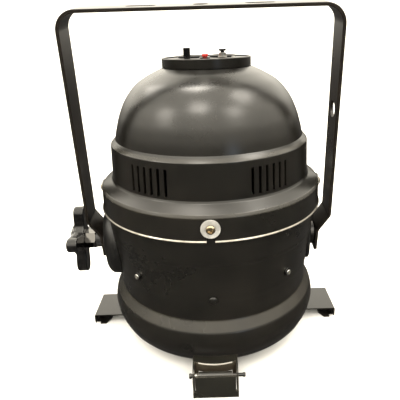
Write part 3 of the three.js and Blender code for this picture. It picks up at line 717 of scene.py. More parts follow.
def fasteners():
    spin = random.Random(4)
    for i, angle in enumerate((0, 90, 180, 270), 1):
        radius, height = seat_of(f"housing_washer_{i}")
        radius -= 0.65
        ring = washer(f"flange_washer_{i}", 2.5, 7.9, 1.3, PALE_WASHER, 0.35)
        attach(placed(ring, outward(angle, radius, height)), LAMP, "zinc", f"housing_washer_{i}")
        screw = smooth(pan_head(f"flange_screw_{i}", 3.7, 2.4, 2, 9, BRASSY))
        turn = Matrix.Rotation(spin.uniform(0.1, 1.4), 4, "Z")
        attach(
            placed(screw, outward(angle, radius + 1.6, height) @ turn), LAMP, "brassy_zinc",
            f"housing_screw_{i}"
        )
    for i, angle in enumerate((43, 137, 223, 317), 1):
        radius, height = seat_of(f"can_washer_{i}")
        radius -= 0.45
        ring = washer(f"side_washer_{i}", 2, 3.9, 0.9, DARK_STEEL)
        attach(placed(ring, outward(angle, radius, height)), LAMP, "dark_steel", f"can_washer_{i}")
        screw = smooth(pan_head(f"side_screw_{i}", 2.6, 1.5, 1.6, 7, ZINC))
        turn = Matrix.Rotation(spin.uniform(0.1, 1.4), 4, "Z")
        attach(
            placed(screw, outward(angle, radius + 1.2, height) @ turn), LAMP, "zinc", f"can_screw_{i}"
        )


fasteners()


def rivet(name, radius, height, shank, look):
    profile = spline(
        [(radius, 0.25), (radius * 0.9, height * 0.55), (radius * 0.5, height * 0.93), (0, height)], 6
    )
    return smooth(
        revolve(name, [(0, -shank), (1.6, -shank), (1.6, 0), (radius * 0.94, 0), *profile], look, 48)
    )


RIVET_HEIGHT = sum(corner.z for corner in node_box("rivet_front")) / 2
for rivet_name, rivet_node, rivet_angle in (
    ("can_rivet_front", "rivet_front", 0), ("can_rivet_rear", "rivet_rear", 180)
):
    head = rivet(rivet_name, 3.9, 2.2, 6, ENAMEL)
    attach(
        placed(head, outward(rivet_angle, can_radius(RIVET_HEIGHT) + 0.4, RIVET_HEIGHT)), LAMP,
        "black_paint", rivet_node
    )


# ---------------------------------------------------------------- connector panel
def collar_ring():
    outer = COLLAR_HIGH.x
    low, high = COLLAR_LOW.z, COLLAR_HIGH.z
    inside, shelf = outer - WALL, PANEL_TOP - SHEET - 0.3
    outline = filleted(
        [(outer, low + 4), (outer, high), (inside, high), (inside, shelf), (34.5, shelf),
        (34.5, shelf - WALL),
         (inside - WALL, shelf - WALL), (inside - WALL, low), (inside, low), (inside, low + 4)],
        [0.3, 0.75, 0.55, 0, 0.3, 0.3, 0, 0.2, 0.2, 0], 5,
    )
    return smooth(revolve("panel_rim", outline, SPUN, 144), 40)


attach(collar_ring(), LAMP, "black_paint", "panel_collar")


def centre_of(node):
    low, high = node_box(node)
    return (low + high) / 2


OUT_PLACE, IN_PLACE = centre_of("data_out_socket"), centre_of("data_in_socket")
DIAL_PLACE, SELECT_PLACE = centre_of("dial_knob"), centre_of("select_button")
MODE_PLACE = centre_of("mode_button")
SEAT = PANEL_TOP + 0.3


def panel_plate():
    radius = node_box("rear_panel")[1].x
    plate = revolve("panel_plate", filleted(
        [(0, PANEL_TOP - SHEET), (radius, PANEL_TOP - SHEET), (radius, PANEL_TOP), (0, PANEL_TOP)],
        [0, 0.2, 0.2, 0], 3), PANEL, 144)
    tools = []
    for place, hole in (
        (OUT_PLACE, 11.2), (IN_PLACE, 11.2), (DIAL_PLACE, 3.2), (SELECT_PLACE, 3.2), (MODE_PLACE, 3.4)
    ):
        tools.append(cylinder("hole_tool", hole, PANEL_TOP - 4, PANEL_TOP + 2, centre=place.xy))
    return smooth(cut(plate, *tools))


attach(panel_plate(), LAMP, "panel", "rear_panel")

CONTACT_ANGLES = (150, 30, 270)


def contact_places(radius=4.4):
    return [
        (radius * math.cos(math.radians(a)), radius * math.sin(math.radians(a))) for a in CONTACT_ANGLES
    ]


def socket_body(name):
    outline = filleted(
        [(0, -18), (10.9, -18), (10.9, 0), (12.2, 0), (12.2, 1.4),
         (11.2, 1.9), (10.0, 1.9), (9.9, 1.3), (0, 1.3)],
        [0, 0.5, 0.1, 0.2, 0.5, 0.4, 0.3, 0.1, 0], 4,
    )
    return revolve(name, outline, NYLON, 96)


def female_socket():
    body = socket_body("data_out_face")
    ring = revolve("ring_tool", [(7.9, -9), (9.5, -9), (9.5, 3), (7.9, 3)], segments=72)
    holes = [cylinder("contact_tool", 1.3, -6, 3, count=24, centre=p) for p in contact_places()]
    latch = cuboid("release_tool", (-2.2, 7.2, -3), (2.2, 9.4, 3))
    return smooth(cut(body, ring, *holes, latch))


def male_socket():
    body = socket_body("data_in_face")
    cup = cylinder("cup_tool", 9.5, -13, 3, count=72)
    return smooth(cut(body, cup))


def panel_hardware():
    attach(
        placed(female_socket(), at(OUT_PLACE.x, OUT_PLACE.y, SEAT)), LAMP, "black_plastic",
        "data_out_socket"
    )
    attach(
        placed(male_socket(), at(IN_PLACE.x, IN_PLACE.y, SEAT)), LAMP, "black_plastic", "data_in_socket"
    )
    pins = []
    for k, (x, y) in enumerate(contact_places(), 1):
        tip = filleted([(0, -13.2), (1.15, -13.2), (1.15, -1), (0, -1)], [0, 0, 0.6, 0], 4)
        pin = smooth(revolve(f"data_in_pin_{k}", tip, ZINC, 24))
        pins.append(attach(placed(pin, at(IN_PLACE.x + x, IN_PLACE.y + y, SEAT)), LAMP, "zinc"))
    for k, place in enumerate((OUT_PLACE, IN_PLACE)):
        for side in (-1, 1):
            screw = smooth(
                pan_head(f"socket_screw_{2 * k + (side + 1) // 2 + 1}", 1.6, 0.9, 0.8, 2, ZINC)
            )
            spot = Vector((place.x + side * 9.6, place.y - 9.6 if side > 0 else place.y + 9.6))
            attach(placed(screw, at(spot.x, spot.y, PANEL_TOP + 0.02)), LAMP, "zinc")
    nut = prism("select_nut", circle(4.1, 6), 0, 1.4, ZINC)
    barrel = cylinder("barrel_tool", 3.3, -9, 4.4, ZINC)
    bore = cylinder("bore_tool", 2.1, -10, 6)
    bushing = smooth(rounded(cut(fuse(nut, barrel), bore), 0.15, 2), 30)
    attach(placed(bushing, at(SELECT_PLACE.x, SELECT_PLACE.y, SEAT)), LAMP, "zinc", "select_bushing")
    cap = filleted(
        [(0, -3.5), (1.7, -3.5), (1.7, 5.8), (3.2, 5.8), (3.2, 7.6), (0, 7.6)], [0, 0.1, 0, 0.3, 0.7, 0],
        4
    )
    cap = smooth(revolve("select_cap", cap, KNOB, 40))
    attach(
        placed(cap, at(SELECT_PLACE.x, SELECT_PLACE.y, SEAT)), "select_body", "knob_plastic",
        "select_button"
    )
    frame_outline = filleted([(-4.4, -4.4), (4.4, -4.4), (4.4, 4.4), (-4.4, 4.4)], 0.8, 4)
    surround = prism("mode_surround", frame_outline, 0, 0.9, KNOB)
    window = prism("window_tool", filleted([(-3, -3), (3, -3), (3, 3), (-3, 3)], 0.3, 3), -2, 3)
    surround = smooth(rounded(cut(surround, window), 0.15, 2), 30)
    attach(placed(surround, at(MODE_PLACE.x, MODE_PLACE.y, SEAT)), LAMP, "knob_plastic", "mode_frame")
    key = prism(
        "mode_key", filleted([(-2.7, -2.7), (2.7, -2.7), (2.7, 2.7), (-2.7, 2.7)], 0.5, 4), 1.7, 3.6, RED
    )
    key = smooth(rounded(fuse(key, cylinder("stem_tool", 1.9, -4, 1.8)), 0.3, 3), 30)
    attach(placed(key, at(MODE_PLACE.x, MODE_PLACE.y, SEAT)), "mode_body", "red_plastic", "mode_button")
    attach(
        placed(dial(), at(DIAL_PLACE.x, DIAL_PLACE.y, SEAT)), "dial_body", "knob_plastic", "dial_knob"
    )


def dial():
    profile = filleted(
        [(0, -6), (2.6, -6), (2.6, 0.2), (3.1, 0.2), (3.1, 9.2), (0, 9.2)], [0, 0.3, 0, 0.2, 0.5, 0], 4,
    )
    body = revolve("dial_cap", profile, KNOB, 80)
    grooves = []
    for k in range(10):
        tool = cylinder("groove_tool", 0.42, 1.2, 10, count=16, centre=(3.25, 0))
        grooves.append(placed(tool, Matrix.Rotation(k * math.pi / 5, 4, "Z")))
    return smooth(cut(body, *grooves, cuboid("mark_tool", (-0.35, 0, 8.7), (0.35, 4, 10))))


panel_hardware()


# ---------------------------------------------------------------- mains inlet
def inlet():
    corners = [(-13, -14), (13, -14), (13, 14), (-13, 14)]
    plate = rounded(prism("inlet_face", filleted(corners, 3, 6), 0, 2, NYLON), 0.4, 3)
    body = revolve(
        "inlet_body", filleted([(0, -18), (11.4, -18), (11.4, 2.6), (0, 2.6)], [0, 0.6, 0.4, 0], 4),
        segments=72
    )
    fused = fuse(plate, body)
    cup = revolve("cup_tool", [(5.7, -13), (9.6, -13), (9.6, 4), (5.7, 4)], segments=72)
    key = cuboid("key_tool", (-1.6, 8.8, -10), (1.6, 10.6, 4))
    contacts = []
    for angle in (90, 210, 330):
        a = math.radians(angle)
        contacts.append(
            cylinder("contact_tool", 0.9, -8, 4, count=20, centre=(3 * math.cos(a), 3 * math.sin(a)))
        )
    holes = [cylinder("screw_tool", 1.7, -1, 3, centre=(s * 10.2, s * 11.2)) for s in (-1, 1)]
    return smooth(cut(fused, cup, key, *contacts, *holes), 32)


INLET_RADIUS = node_box("mains_inlet")[1].y - 2.6
attach(placed(inlet(), outward(180, INLET_RADIUS, INLET_HEIGHT)), LAMP, "black_plastic", "mains_inlet")
for inlet_side in (-1, 1):
    fixing = smooth(pan_head(f"inlet_screw_{(inlet_side + 3) // 2}", 2.3, 1.2, 1.2, 5, ZINC))
    # The screws sit on the flange's diagonal.
    offset = at(inlet_side * 10.2, inlet_side * 11.2, 2.02)
    attach(placed(fixing, outward(180, INLET_RADIUS, INLET_HEIGHT) @ offset), LAMP, "zinc")

# ---------------------------------------------------------------- colour-frame clips
CLIP_OUTER = node_box("clip_right")[1].x
CLIP_TOP = node_box("clip_right")[1].z
CLIP_HALF = node_box("clip_right")[1].y


def clip(name):
    """A folded channel seen from the front, drawn in XZ and extruded along Y."""
    out, top = CLIP_OUTER, CLIP_TOP
    profile = filleted(
        [(86, top - SHEET), (out - SHEET, top - SHEET), (out - SHEET, SHEET), (115, SHEET), (115, 0),
         (out, 0), (out, top), (86, top)],
        [0, 0.6, 0.6, 0, 0, 2.0, 2.0, 0], 6,
    )
    channel = prism(name, profile, -CLIP_HALF, CLIP_HALF, ENAMEL)
    channel.data.transform(Matrix.Rotation(math.pi / 2, 4, "X"))
    tools = []
    for side in (1, -1):
        half = side * CLIP_HALF
        lead = [(113, half - side * 12), (120, half + side), (113, half + side)]
        tools.append(prism("lead_tool", lead, -1, 3))
        relief = sorted((side * (CLIP_HALF - 4), side * (CLIP_HALF + 1)))
        tools.append(
            cuboid("relief_tool", (out - 5.5, relief[0], -1), (out + 1, relief[1], SHEET + 0.5))
        )
    return smooth(rounded(cut(channel, *tools), 0.35, 3, 40), 30)


CLIP_RIVET_RADIUS = 89.5
CLIP_RIVET_SIDE = 12


def clips():
    for k, node in enumerate(("clip_right", "clip_rear", "clip_left")):
        turn = Matrix.Rotation(k * math.pi / 2, 4, "Z")
        attach(placed(clip(f"frame_{node}"), turn), LAMP, "black_paint", node)
        for side in (-1, 1):
            head = rivet(f"{node}_rivet_{(side + 3) // 2}", 3.1, 1.3, 3, DARK_STEEL)
            flip = Matrix.Rotation(math.pi, 4, "X")
            place = turn @ at(CLIP_RIVET_RADIUS, side * CLIP_RIVET_SIDE, CLIP_TOP - SHEET - 0.02) @ flip
            attach(placed(head, place), LAMP, "dark_steel")


clips()

# ---------------------------------------------------------------- latch
FLAP_LOW, FLAP_HIGH = node_box("latch_flap")
BRACKET_HIGH = node_box("latch_bracket")[1]
EAR = SHEET


def side_plate(name, outline, x0, x1, look=None):
    """An outline drawn in YZ and extruded along X."""
    plate = prism(name, outline, x0, x1, look)
    plate.data.transform(axes((0, 1, 0), (0, 0, 1), (1, 0, 0), (0, 0, 0)))
    return plate


ROOF_FRONT = -113.0  # middle of the roof's front edge
ROOF_TOP = 25.9
APRON_BOTTOM = 16.6
TAB_BOTTOM = 9.0
FLAP_HALF = 17.4  # between the ears
DOOR_ABOVE_PIN = 2.1  # height of the door's top edge over the pin's axis
ARC_SAG = 3.7  # the ends of an arc lie this far behind its middle
KNUCKLE_HALF = 14.3


def arc_strip(name, front, rear, half, bottom, top, look=None, first=-1, last=1):
    """A plate between two arcs that bulge towards the front, over part or all of the width."""
    steps = np.linspace(first, last, 25)
    outline = [(t * half, front + ARC_SAG * t * t) for t in steps]
    outline += [(t * half, rear + ARC_SAG * t * t) for t in reversed(steps)]
    return prism(name, outline, bottom, top, look)


def latch_bracket():
    outer = BRACKET_HIGH.x
    inside = outer - EAR + 0.4
    y, z = LATCH_PIN.y, LATCH_PIN.z
    roof = arc_strip("latch_hood", ROOF_FRONT, -101, inside, ROOF_TOP - SHEET, ROOF_TOP, LATCH_ENAMEL)
    apron = arc_strip("apron_tool", ROOF_FRONT, ROOF_FRONT + SHEET, inside, APRON_BOTTOM, ROOF_TOP)
    tabs = [
        arc_strip("tab_tool", ROOF_FRONT, ROOF_FRONT + SHEET, inside, TAB_BOTTOM, ROOF_TOP, None, *ends)
        for ends in ((-1, -0.8), (0.8, 1))
    ]
    ear = filleted(
        [(-101.5, ROOF_TOP), (-101.5, 17), (-110, 3.4), (-120.6, 3.4), (-122.8, 6), (-123.1, 20),
        (-121.6, 24),
         (-118, 25.2), (-110, ROOF_TOP)],
        [0, 2, 2, 1.5, 3, 3, 2, 2, 1], 4,
    )
    ears = [
        side_plate("ear_tool", ear, -outer, -outer + EAR),
        side_plate("ear_tool", ear, outer - EAR, outer)
    ]
    hood = fuse(roof, apron, *tabs, *ears)
    can = cylinder("can_tool", 103.4, 10, 40, count=180)
    holes = side_plate("pin_tool", circle(1.7, 32, (y, z)), -30, 30)
    hood = smooth(rounded(cut(hood, can, holes), 0.35, 3, 40), 30)
    # The apron's front faces get a pale brown enamel: a painted highlight, with rubbed edges.
    for look in (APRON_WEAR_AND_HIGHLIGHT, EDGE_HIGHLIGHT):
        hood.data.materials.append(look)
    for face in hood.data.polygons:
        x, y, z = face.center / MM
        on_edge = z > ROOF_TOP - 0.8  # the roof's front edge, above the apron
        # The roof's front edge gets a pale painted highlight line.
        if face.normal.y < (-0.15 if on_edge else -0.5) and abs(x) < inside - 0.5:
            face.material_index = 2 if on_edge else 1
    return hood


def latch_flap():
    front, z = FLAP_LOW.y + 0.5, LATCH_PIN.z
    back, foot_half = front + SHEET, FLAP_HIGH.x
    top = min(FLAP_HIGH.z, z + DOOR_ABOVE_PIN)
    door = [(front, 6), (back, 6), (back, top), (front, top)]
    wall = side_plate("latch_door", door, -FLAP_HALF, FLAP_HALF, LATCH_ENAMEL)
    foot = filleted(
        [(front - 0.5, 0), (front + 7.5, 0), (front + 7.5, SHEET),
         (back - 0.5, SHEET), (back, 6.9), (front, 6.9)],
        [1.2, 0.4, 0.4, 0.3, 0, 0], 5,
    )
    foot = side_plate("foot_tool", foot, -foot_half, foot_half)
    knuckle = side_plate("knuckle_tool", circle(3.3, 48, (LATCH_PIN.y, z)), -KNUCKLE_HALF, KNUCKLE_HALF)
    bore = side_plate("bore_tool", circle(1.8, 32, (LATCH_PIN.y, z)), -20, 20)
    return smooth(rounded(cut(fuse(wall, foot, knuckle), bore), 0.3, 3, 40), 30)


def latch_pin():
    """A plain head on the left and a short wider end on the right."""
    profile = filleted(
        [(0, -22.6), (2.2, -22.6), (2.2, -20.4), (1.5, -20.2),
         (1.5, 23.2), (1.9, 23.6), (1.9, 25.8), (0, 25.8)],
        [0, 0.7, 0.3, 0, 0, 0.2, 0.8, 0], 4,
    )
    pin = revolve("latch_rod", profile, DARK_STEEL, 40)
    return placed(smooth(pin), axes((0, 1, 0), (0, 0, 1), (1, 0, 0), LATCH_PIN))


def coil(name, start, end, radius, wire, turns, look, steps=40, sides=14):
    """A coil spring along X about the latch pin."""
    vertices, faces = [], []
    count = int(turns * steps)
    for k in range(count + 1):
        t = k / count
        angle = 2 * math.pi * turns * t
        out = Vector((0, math.cos(angle), math.sin(angle)))
        middle = Vector((start + (end - start) * t, 0, 0)) + out * radius
        for s in range(sides):
            a = 2 * math.pi * s / sides
            vertices.append(middle + out * wire * math.cos(a) + Vector((wire * math.sin(a), 0, 0)))
    for k in range(count):
        for s in range(sides):
            n = (s + 1) % sides
            faces.append([k * sides + s, k * sides + n, (k + 1) * sides + n, (k + 1) * sides + s])
    faces += [list(range(sides)), list(range(count * sides, (count + 1) * sides))]
    return placed(smooth(build(name, vertices, faces, look)), at(*LATCH_PIN))


attach(latch_bracket(), LAMP, "black_paint", "latch_bracket")
attach(latch_flap(), "latch_body", "black_paint", "latch_flap")
attach(latch_pin(), LAMP, "zinc", "latch_pin")
attach(coil("latch_coil", -17.5, -15.1, 2.05, 0.35, 2, ZINC), LAMP, "zinc", "latch_spring")


# ---------------------------------------------------------------- lens and optics
def optics():
    low, high = node_box("front_lens")
    edge = filleted([(0, low.z), (high.x, low.z), (high.x, high.z), (0, high.z)], [0, 0.5, 0.5, 0], 3)
    attach(smooth(revolve("lens_disc", edge, LENS, 144)), LAMP, "clear_lens", "front_lens")
    low, high = node_box("lens_retainer")
    hoop = filleted([(85, low.z), (high.x, low.z), (high.x, high.z), (85, high.z)], 0.6, 4)
    attach(smooth(revolve("lens_hoop", hoop, DARK_STEEL, 144)), LAMP, "dark_steel", "lens_retainer")
    low, high = node_box("lens_seal")
    seal = filleted([(86, low.z), (high.x, low.z), (high.x, high.z), (86, high.z)], 0.9, 4)
    attach(smooth(revolve("lens_gasket", seal, RUBBER, 144)), LAMP, "black_rubber", "lens_seal")
    places = [(0.0, 0.0)]
    for count, radius in ((6, 28), (12, 57)):
        places += [
            (radius * math.cos(2 * math.pi * k / count), radius * math.sin(2 * math.pi * k / count))
            for k in range(count)
        ]
    cup = spline([(11.5, 31.6), (10.4, 34.5), (8.2, 38.5), (5.2, 45), (3.2, 45)], 5)
    dip = spline([(3.2, 45), (2.6, 43), (1.2, 41.8), (0, 41.4)], 4)
    outline = [(0, 31.2), (9.5, 31.2), *cup, *dip[1:]]
    plate = filleted([(0, 29), (72, 29), (72, 31.5), (0, 31.5)], [0, 0.6, 0.6, 0], 3)
    vertices, faces = [], []
    pieces = [revolve("optic_plate", plate, LENS, 120)]
    for x, y in places:
        pieces.append(placed(revolve("optic_cup", outline, LENS, 40), at(x, y, 0)))
    for piece in pieces:
        start = len(vertices)
        vertices += [piece.matrix_world @ v.co / MM for v in piece.data.vertices]
        faces += [[start + i for i in polygon.vertices] for polygon in piece.data.polygons]
        bpy.data.objects.remove(piece)
    attach(smooth(build("lens_array", vertices, faces, LENS)), LAMP, "clear_lens", "optic_array")


optics()

# ---------------------------------------------------------------- tilt pivots
PIVOT_HOLE = 4.4


def ring_piece(name, node, inner, look, edge, segments=96, slot="black_plastic", body=LAMP):
    """A ring about the tilt axis that fills a node's box."""
    low, high = node_box(node)
    radius = (high.z - low.z) / 2
    profile = [(inner, low.x), (radius, low.x), (radius, high.x), (inner, high.x)]
    ring = smooth(revolve(name, filleted(profile, edge, 6), look, segments))
    return attach(placed(ring, about_tilt()), body, slot, node)


def saddle_pad(name, node, side, depth, width, swell=0.0):
    """A round rubber pad that follows the can inside and a cylinder about the beam axis outside."""
    low, high = node_box(node)
    radius, outer = (high.z - low.z) / 2, max(-low.x, high.x)
    arcs = [
        (outer + swell - 0.03 - depth * (1 - math.sin(a)), radius - width * (1 - math.cos(a)))
        for a in np.linspace(0, math.pi / 2, 12)
    ]
    rings = [(can_radius(PIVOT.z) - 12, radius), *arcs]
    flat = radius - width
    for k in range(13, 0, -1):
        out = flat * k / 14
        rings.append((outer - 0.03 + swell * min(1, max(0, (out - 18) / 3)), out))
    count, vertices, faces = 96, [], []
    for distance, reach in rings:
        for k in range(count):
            a = 2 * math.pi * k / count
            y, z = reach * math.cos(a), reach * math.sin(a)
            vertices.append((side * math.sqrt(distance**2 - y**2), y, PIVOT.z + z))
    for r in range(len(rings) - 1):
        for k in range(count):
            n = (k + 1) % count
            faces.append([r * count + k, r * count + n, (r + 1) * count + n, (r + 1) * count + k])
    faces += [list(range(count)), list(range((len(rings) - 1) * count, len(rings) * count))]
    pad = build(name, vertices, faces, RUBBER)
    clear = [(r + 0.3, z) for r, z in can_curve()]
    can = revolve("can_tool", [(1, 12), *clear, (1, 158)])
    bore = placed(cylinder("bore_tool", PIVOT_HOLE, -130, 130), about_tilt())
    return attach(smooth(cut(pad, can, bore), 40), LAMP, "black_rubber", node)


def hexagon(name, node, look, bore, body, slot):
    low, high = node_box(node)
    corner = (high.y - low.y) / 2
    if (high.z - low.z) / 2 > corner:
        corner = (high.z - low.z) / 2
    length = high.x - low.x
    nut = prism(name, circle(corner, 6), 0, length, look)
    crown = revolve(
        "crown_tool",
        [(0, -1), (corner * 0.9, -1), (corner * 0.9, 0), (corner * 1.02, corner * 0.1),
         (corner * 1.02, length - corner * 0.1), (corner * 0.9, length), (corner * 0.9, length + 1),
         (0, length + 1)],
        segments=96,
    )
    nut = combined(nut, [crown], "INTERSECT")
    nut = smooth(rounded(cut(nut, cylinder("bore_tool", bore, -1, length + 1)), 0.25, 3, 25), 24)
    return attach(placed(nut, about_tilt(low.x)), body, slot, node)


def pivot_hardware():
    saddle_pad("pivot_pad", "friction_pad", -1, 8.5, 12, 2.5)
    saddle_pad("pivot_spacer_pad", "pivot_spacer", 1, 2, 4)
    ring_piece("pivot_disc", "friction_disc", PIVOT_HOLE, NYLON, 0.5)
    ring_piece("pivot_ring", "spacer_disc", PIVOT_HOLE, DARK_STEEL, 0.4, slot="dark_steel")
    ring_piece(
        "knob_bush", "clamp_washer", PIVOT_HOLE, NYLON, 0.7, slot="black_plastic", body="clamp_body"
    )
    hexagon("knob_hex", "hex_collar", NICKEL, 4.2, "knob_body", "chrome")
    low, high = node_box("pivot_bolt")
    seat = high.x - 2.4
    profile = [(0, low.x), (3.9, low.x), (3.9, seat), (8, seat)]
    crown = spline([(8, seat + 0.3), (7.4, seat + 1.3), (5.2, seat + 2.1), (3.5, seat + 2.4)], 5)
    bolt = revolve("pivot_screw", [*profile, *crown, (0, seat + 2.4)], DARK_STEEL, 72)
    bolt = smooth(cut(bolt, prism("socket_tool", circle(2.6, 6), seat + 0.6, seat + 5)))
    attach(placed(bolt, about_tilt()), LAMP, "dark_steel", "pivot_bolt")
    low, high = node_box("tilt_stud")
    pitch, stud_radius = 1.25, 3.9
    outline = [(0, -high.x)]
    thread_end = -low.x
    z = -high.x
    while z < thread_end - pitch:
        outline += [(stud_radius - 0.45, z + 0.1), (stud_radius, z + pitch / 2)]
        z += pitch
    outline += [(stud_radius - 0.2, thread_end), (0, thread_end)]
    stud = smooth(revolve("tilt_rod", outline, ZINC, 40), 20)
    attach(placed(stud, about_tilt(0, -1)), "knob_body", "zinc", "tilt_stud")


pivot_hardware()


# ---------------------------------------------------------------- tilt knob
KNOB_TURN = math.radians(13)  # of the arms from upright


def arm_outline(reach=35, half=7.4, neck=9.5):
    tip = reach - half
    points = [(neck, -neck + 0.6), (neck + 5, -half + 0.9), (tip - 6, -half)]
    points += [
        (tip + half * math.cos(k * math.pi / 6), half * math.sin(k * math.pi / 6)) for k in range(-3, 4)
    ]
    return [*points, (tip - 6, half), (neck + 5, half - 0.9)]


def knob_outline():
    points = []
    for k in range(4):
        a = KNOB_TURN + k * math.pi / 2
        points += [
            (x * math.cos(a) - y * math.sin(a), x * math.sin(a) + y * math.cos(a))
            for x, y in arm_outline()
        ]
    coarse = filleted(points, 5, 4)
    closed = np.array([*coarse, coarse[0]])
    lengths = np.append(0, np.cumsum(np.linalg.norm(np.diff(closed, axis=0), axis=1)))
    even = np.linspace(0, lengths[-1], 288, endpoint=False)
    return list(zip(np.interp(even, lengths, closed[:, 0]), np.interp(even, lengths, closed[:, 1])))


def cross_knob():
    """Four arms with rounded edges and a raised hub, drawn along local Z from the collar outwards."""
    outline = knob_outline()
    edge, thick = 2.4, 11.0
    rings = []
    for k in range(7):
        a = k * math.pi / 12
        rings.append((inset(outline, 1.0 * (1 - math.sin(a))), 1.0 * (1 - math.cos(a))))
    rings.append((outline, thick - edge))
    for k in range(1, 9):
        a = k * math.pi / 16
        rings.append((inset(outline, edge * (1 - math.cos(a))), thick - edge + edge * math.sin(a)))
    rim = rings[-1][0]
    for k in range(1, 25):
        share = 1 - k / 25
        rings.append(([(x * share, y * share) for x, y in rim], thick))
    vertices, faces = [], []
    count = len(outline)
    for ring, z in rings:
        for x, y in ring:
            out = math.hypot(x, y)
            swell = 4.3 * max(0.0, 1 - (out / 16.5) ** 2) ** 0.6 if z > thick - 0.01 else 0
            dish = -0.9 * math.exp(-((out - 24) / 6.5) ** 2) if z > thick - 0.01 else 0
            vertices.append((x, y, z + swell + dish))
    for r in range(len(rings) - 1):
        for k in range(count):
            n = (k + 1) % count
            faces.append([r * count + k, r * count + n, (r + 1) * count + n, (r + 1) * count + k])
    faces += [list(range(count)), list(range((len(rings) - 1) * count, len(rings) * count))]
    knob = build("tilt_handle", vertices, faces, KNOB)
    return smooth(cut(knob, cylinder("bore_tool", 4.2, -1, 8.4)), 40)


KNOB_BACK = -node_box("tilt_knob")[1].x
attach(placed(cross_knob(), about_tilt(-KNOB_BACK, -1)), "knob_body", "knob_plastic", "tilt_knob")

# ---------------------------------------------------------------- yoke
YOKE_LEAN = math.radians(7.9)
YOKE_LOW, YOKE_HIGH = node_box("yoke")
YOKE_SHIFT = (YOKE_LOW.x + YOKE_HIGH.x) / 2
BAR_HALF = 13.8
BAR_THICK = 3.0
YOKE_HEIGHT = 223.0
LOWER_HALF, UPPER_HALF, TOP_HALF = 110.2, 121.0, 113.7
LEG_BOTTOM = -13.7  # below the pivot's axis
LEG_ROUNDING = 1.8
CLAMP_HOLE = 6.2  # radius
SAFETY_HOLE, SAFETY_HEIGHT = 7.2, 133.6
SLOT_PLACES, SLOT_HALF, SLOT_RADIUS = (-48, 48), 8, 4.3


def is_leg_corner(edge):
    """True for the short edges at the bottom corners of the two legs."""
    a, b = (v.co / MM for v in edge.verts)
    at_bottom = abs(a.z - LEG_BOTTOM) < 0.2 and abs(b.z - LEG_BOTTOM) < 0.2
    return at_bottom and abs(a.y - b.y) < 0.01 and abs(abs(a.y) - BAR_HALF) < 0.01


def yoke_bar():
    right = [
        (LOWER_HALF, LEG_BOTTOM), (LOWER_HALF, 10.5), (UPPER_HALF, 28),
        (TOP_HALF, YOKE_HEIGHT - BAR_THICK / 2),
    ]
    centre = [*right, *[(-x, z) for x, z in reversed(right)]]
    radii = [0, 7, 7, 16, 16, 7, 7, 0]
    line = filleted(centre, radii, 12, closed=False)
    outer = inset(line, -BAR_THICK / 2, closed=False)
    inner = inset(line, BAR_THICK / 2, closed=False)
    bar = prism("yoke_bar", [*outer, *reversed(inner)], -BAR_HALF, BAR_HALF, YOKE_ENAMEL)
    bar.data.transform(Matrix.Rotation(math.pi / 2, 4, "X"))
    shape = bmesh.new()
    shape.from_mesh(bar.data)
    corners = [edge for edge in shape.edges if is_leg_corner(edge)]
    bmesh.ops.bevel(
        shape, geom=corners, offset=LEG_ROUNDING * MM, segments=5, profile=0.5, affect="EDGES"
    )
    shape.to_mesh(bar.data)
    shape.free()
    along_x = (0, 1, 0), (0, 0, 1), (1, 0, 0)
    below, above = YOKE_HEIGHT - 6, YOKE_HEIGHT + 3
    tools = [
        placed(cylinder("pivot_tool", PIVOT_HOLE, -130, 130), axes(*along_x, (0, 0, 0))),
        placed(cylinder("safety_tool", SAFETY_HOLE, 105, 130), axes(*along_x, (0, 0, SAFETY_HEIGHT))),
        cylinder("clamp_tool", CLAMP_HOLE, below, above),
    ]
    for x in SLOT_PLACES:
        turn = [
            (SLOT_RADIUS * math.sin(a), SLOT_RADIUS * math.cos(a)) for a in np.linspace(0, math.pi, 13)
        ]
        slot = [(x + SLOT_HALF + out, -side) for out, side in turn]
        slot += [(x - SLOT_HALF - out, side) for out, side in turn]
        tools.append(prism("slot_tool", slot, below, above))
    bar = smooth(rounded(cut(bar, *tools), 0.55, 3, 40), 30)
    shift = Matrix.Translation(Vector((YOKE_SHIFT, PIVOT.y, PIVOT.z)) * MM)
    return placed(bar, shift @ Matrix.Rotation(YOKE_LEAN, 4, "X"))


attach(yoke_bar(), "yoke_body", "black_paint", "yoke")

# ---------------------------------------------------------------- looks of the inner CAD nodes
INNER_LOOKS = {
    "insert_left": ZINC, "insert_right": ZINC, "lamp_carrier": ZINC, "board_bracket": ZINC,
    "heat_sink": ALUMINIUM, "power_supply": ALUMINIUM, "led_board": LED_BOARD, "control_board": CIRCUIT,
}
for inner_node, inner_look in INNER_LOOKS.items():
    for material_slot in frame["nodes"][inner_node].material_slots:
        material_slot.material = inner_look

# ---------------------------------------------------------------- stage, light and camera
FLOOR_LEVEL = -0.2
FLOOR_RADIUS = 2300  # of the flat part
RIM_ROUNDING = 600
RIM_HEIGHT = 2600


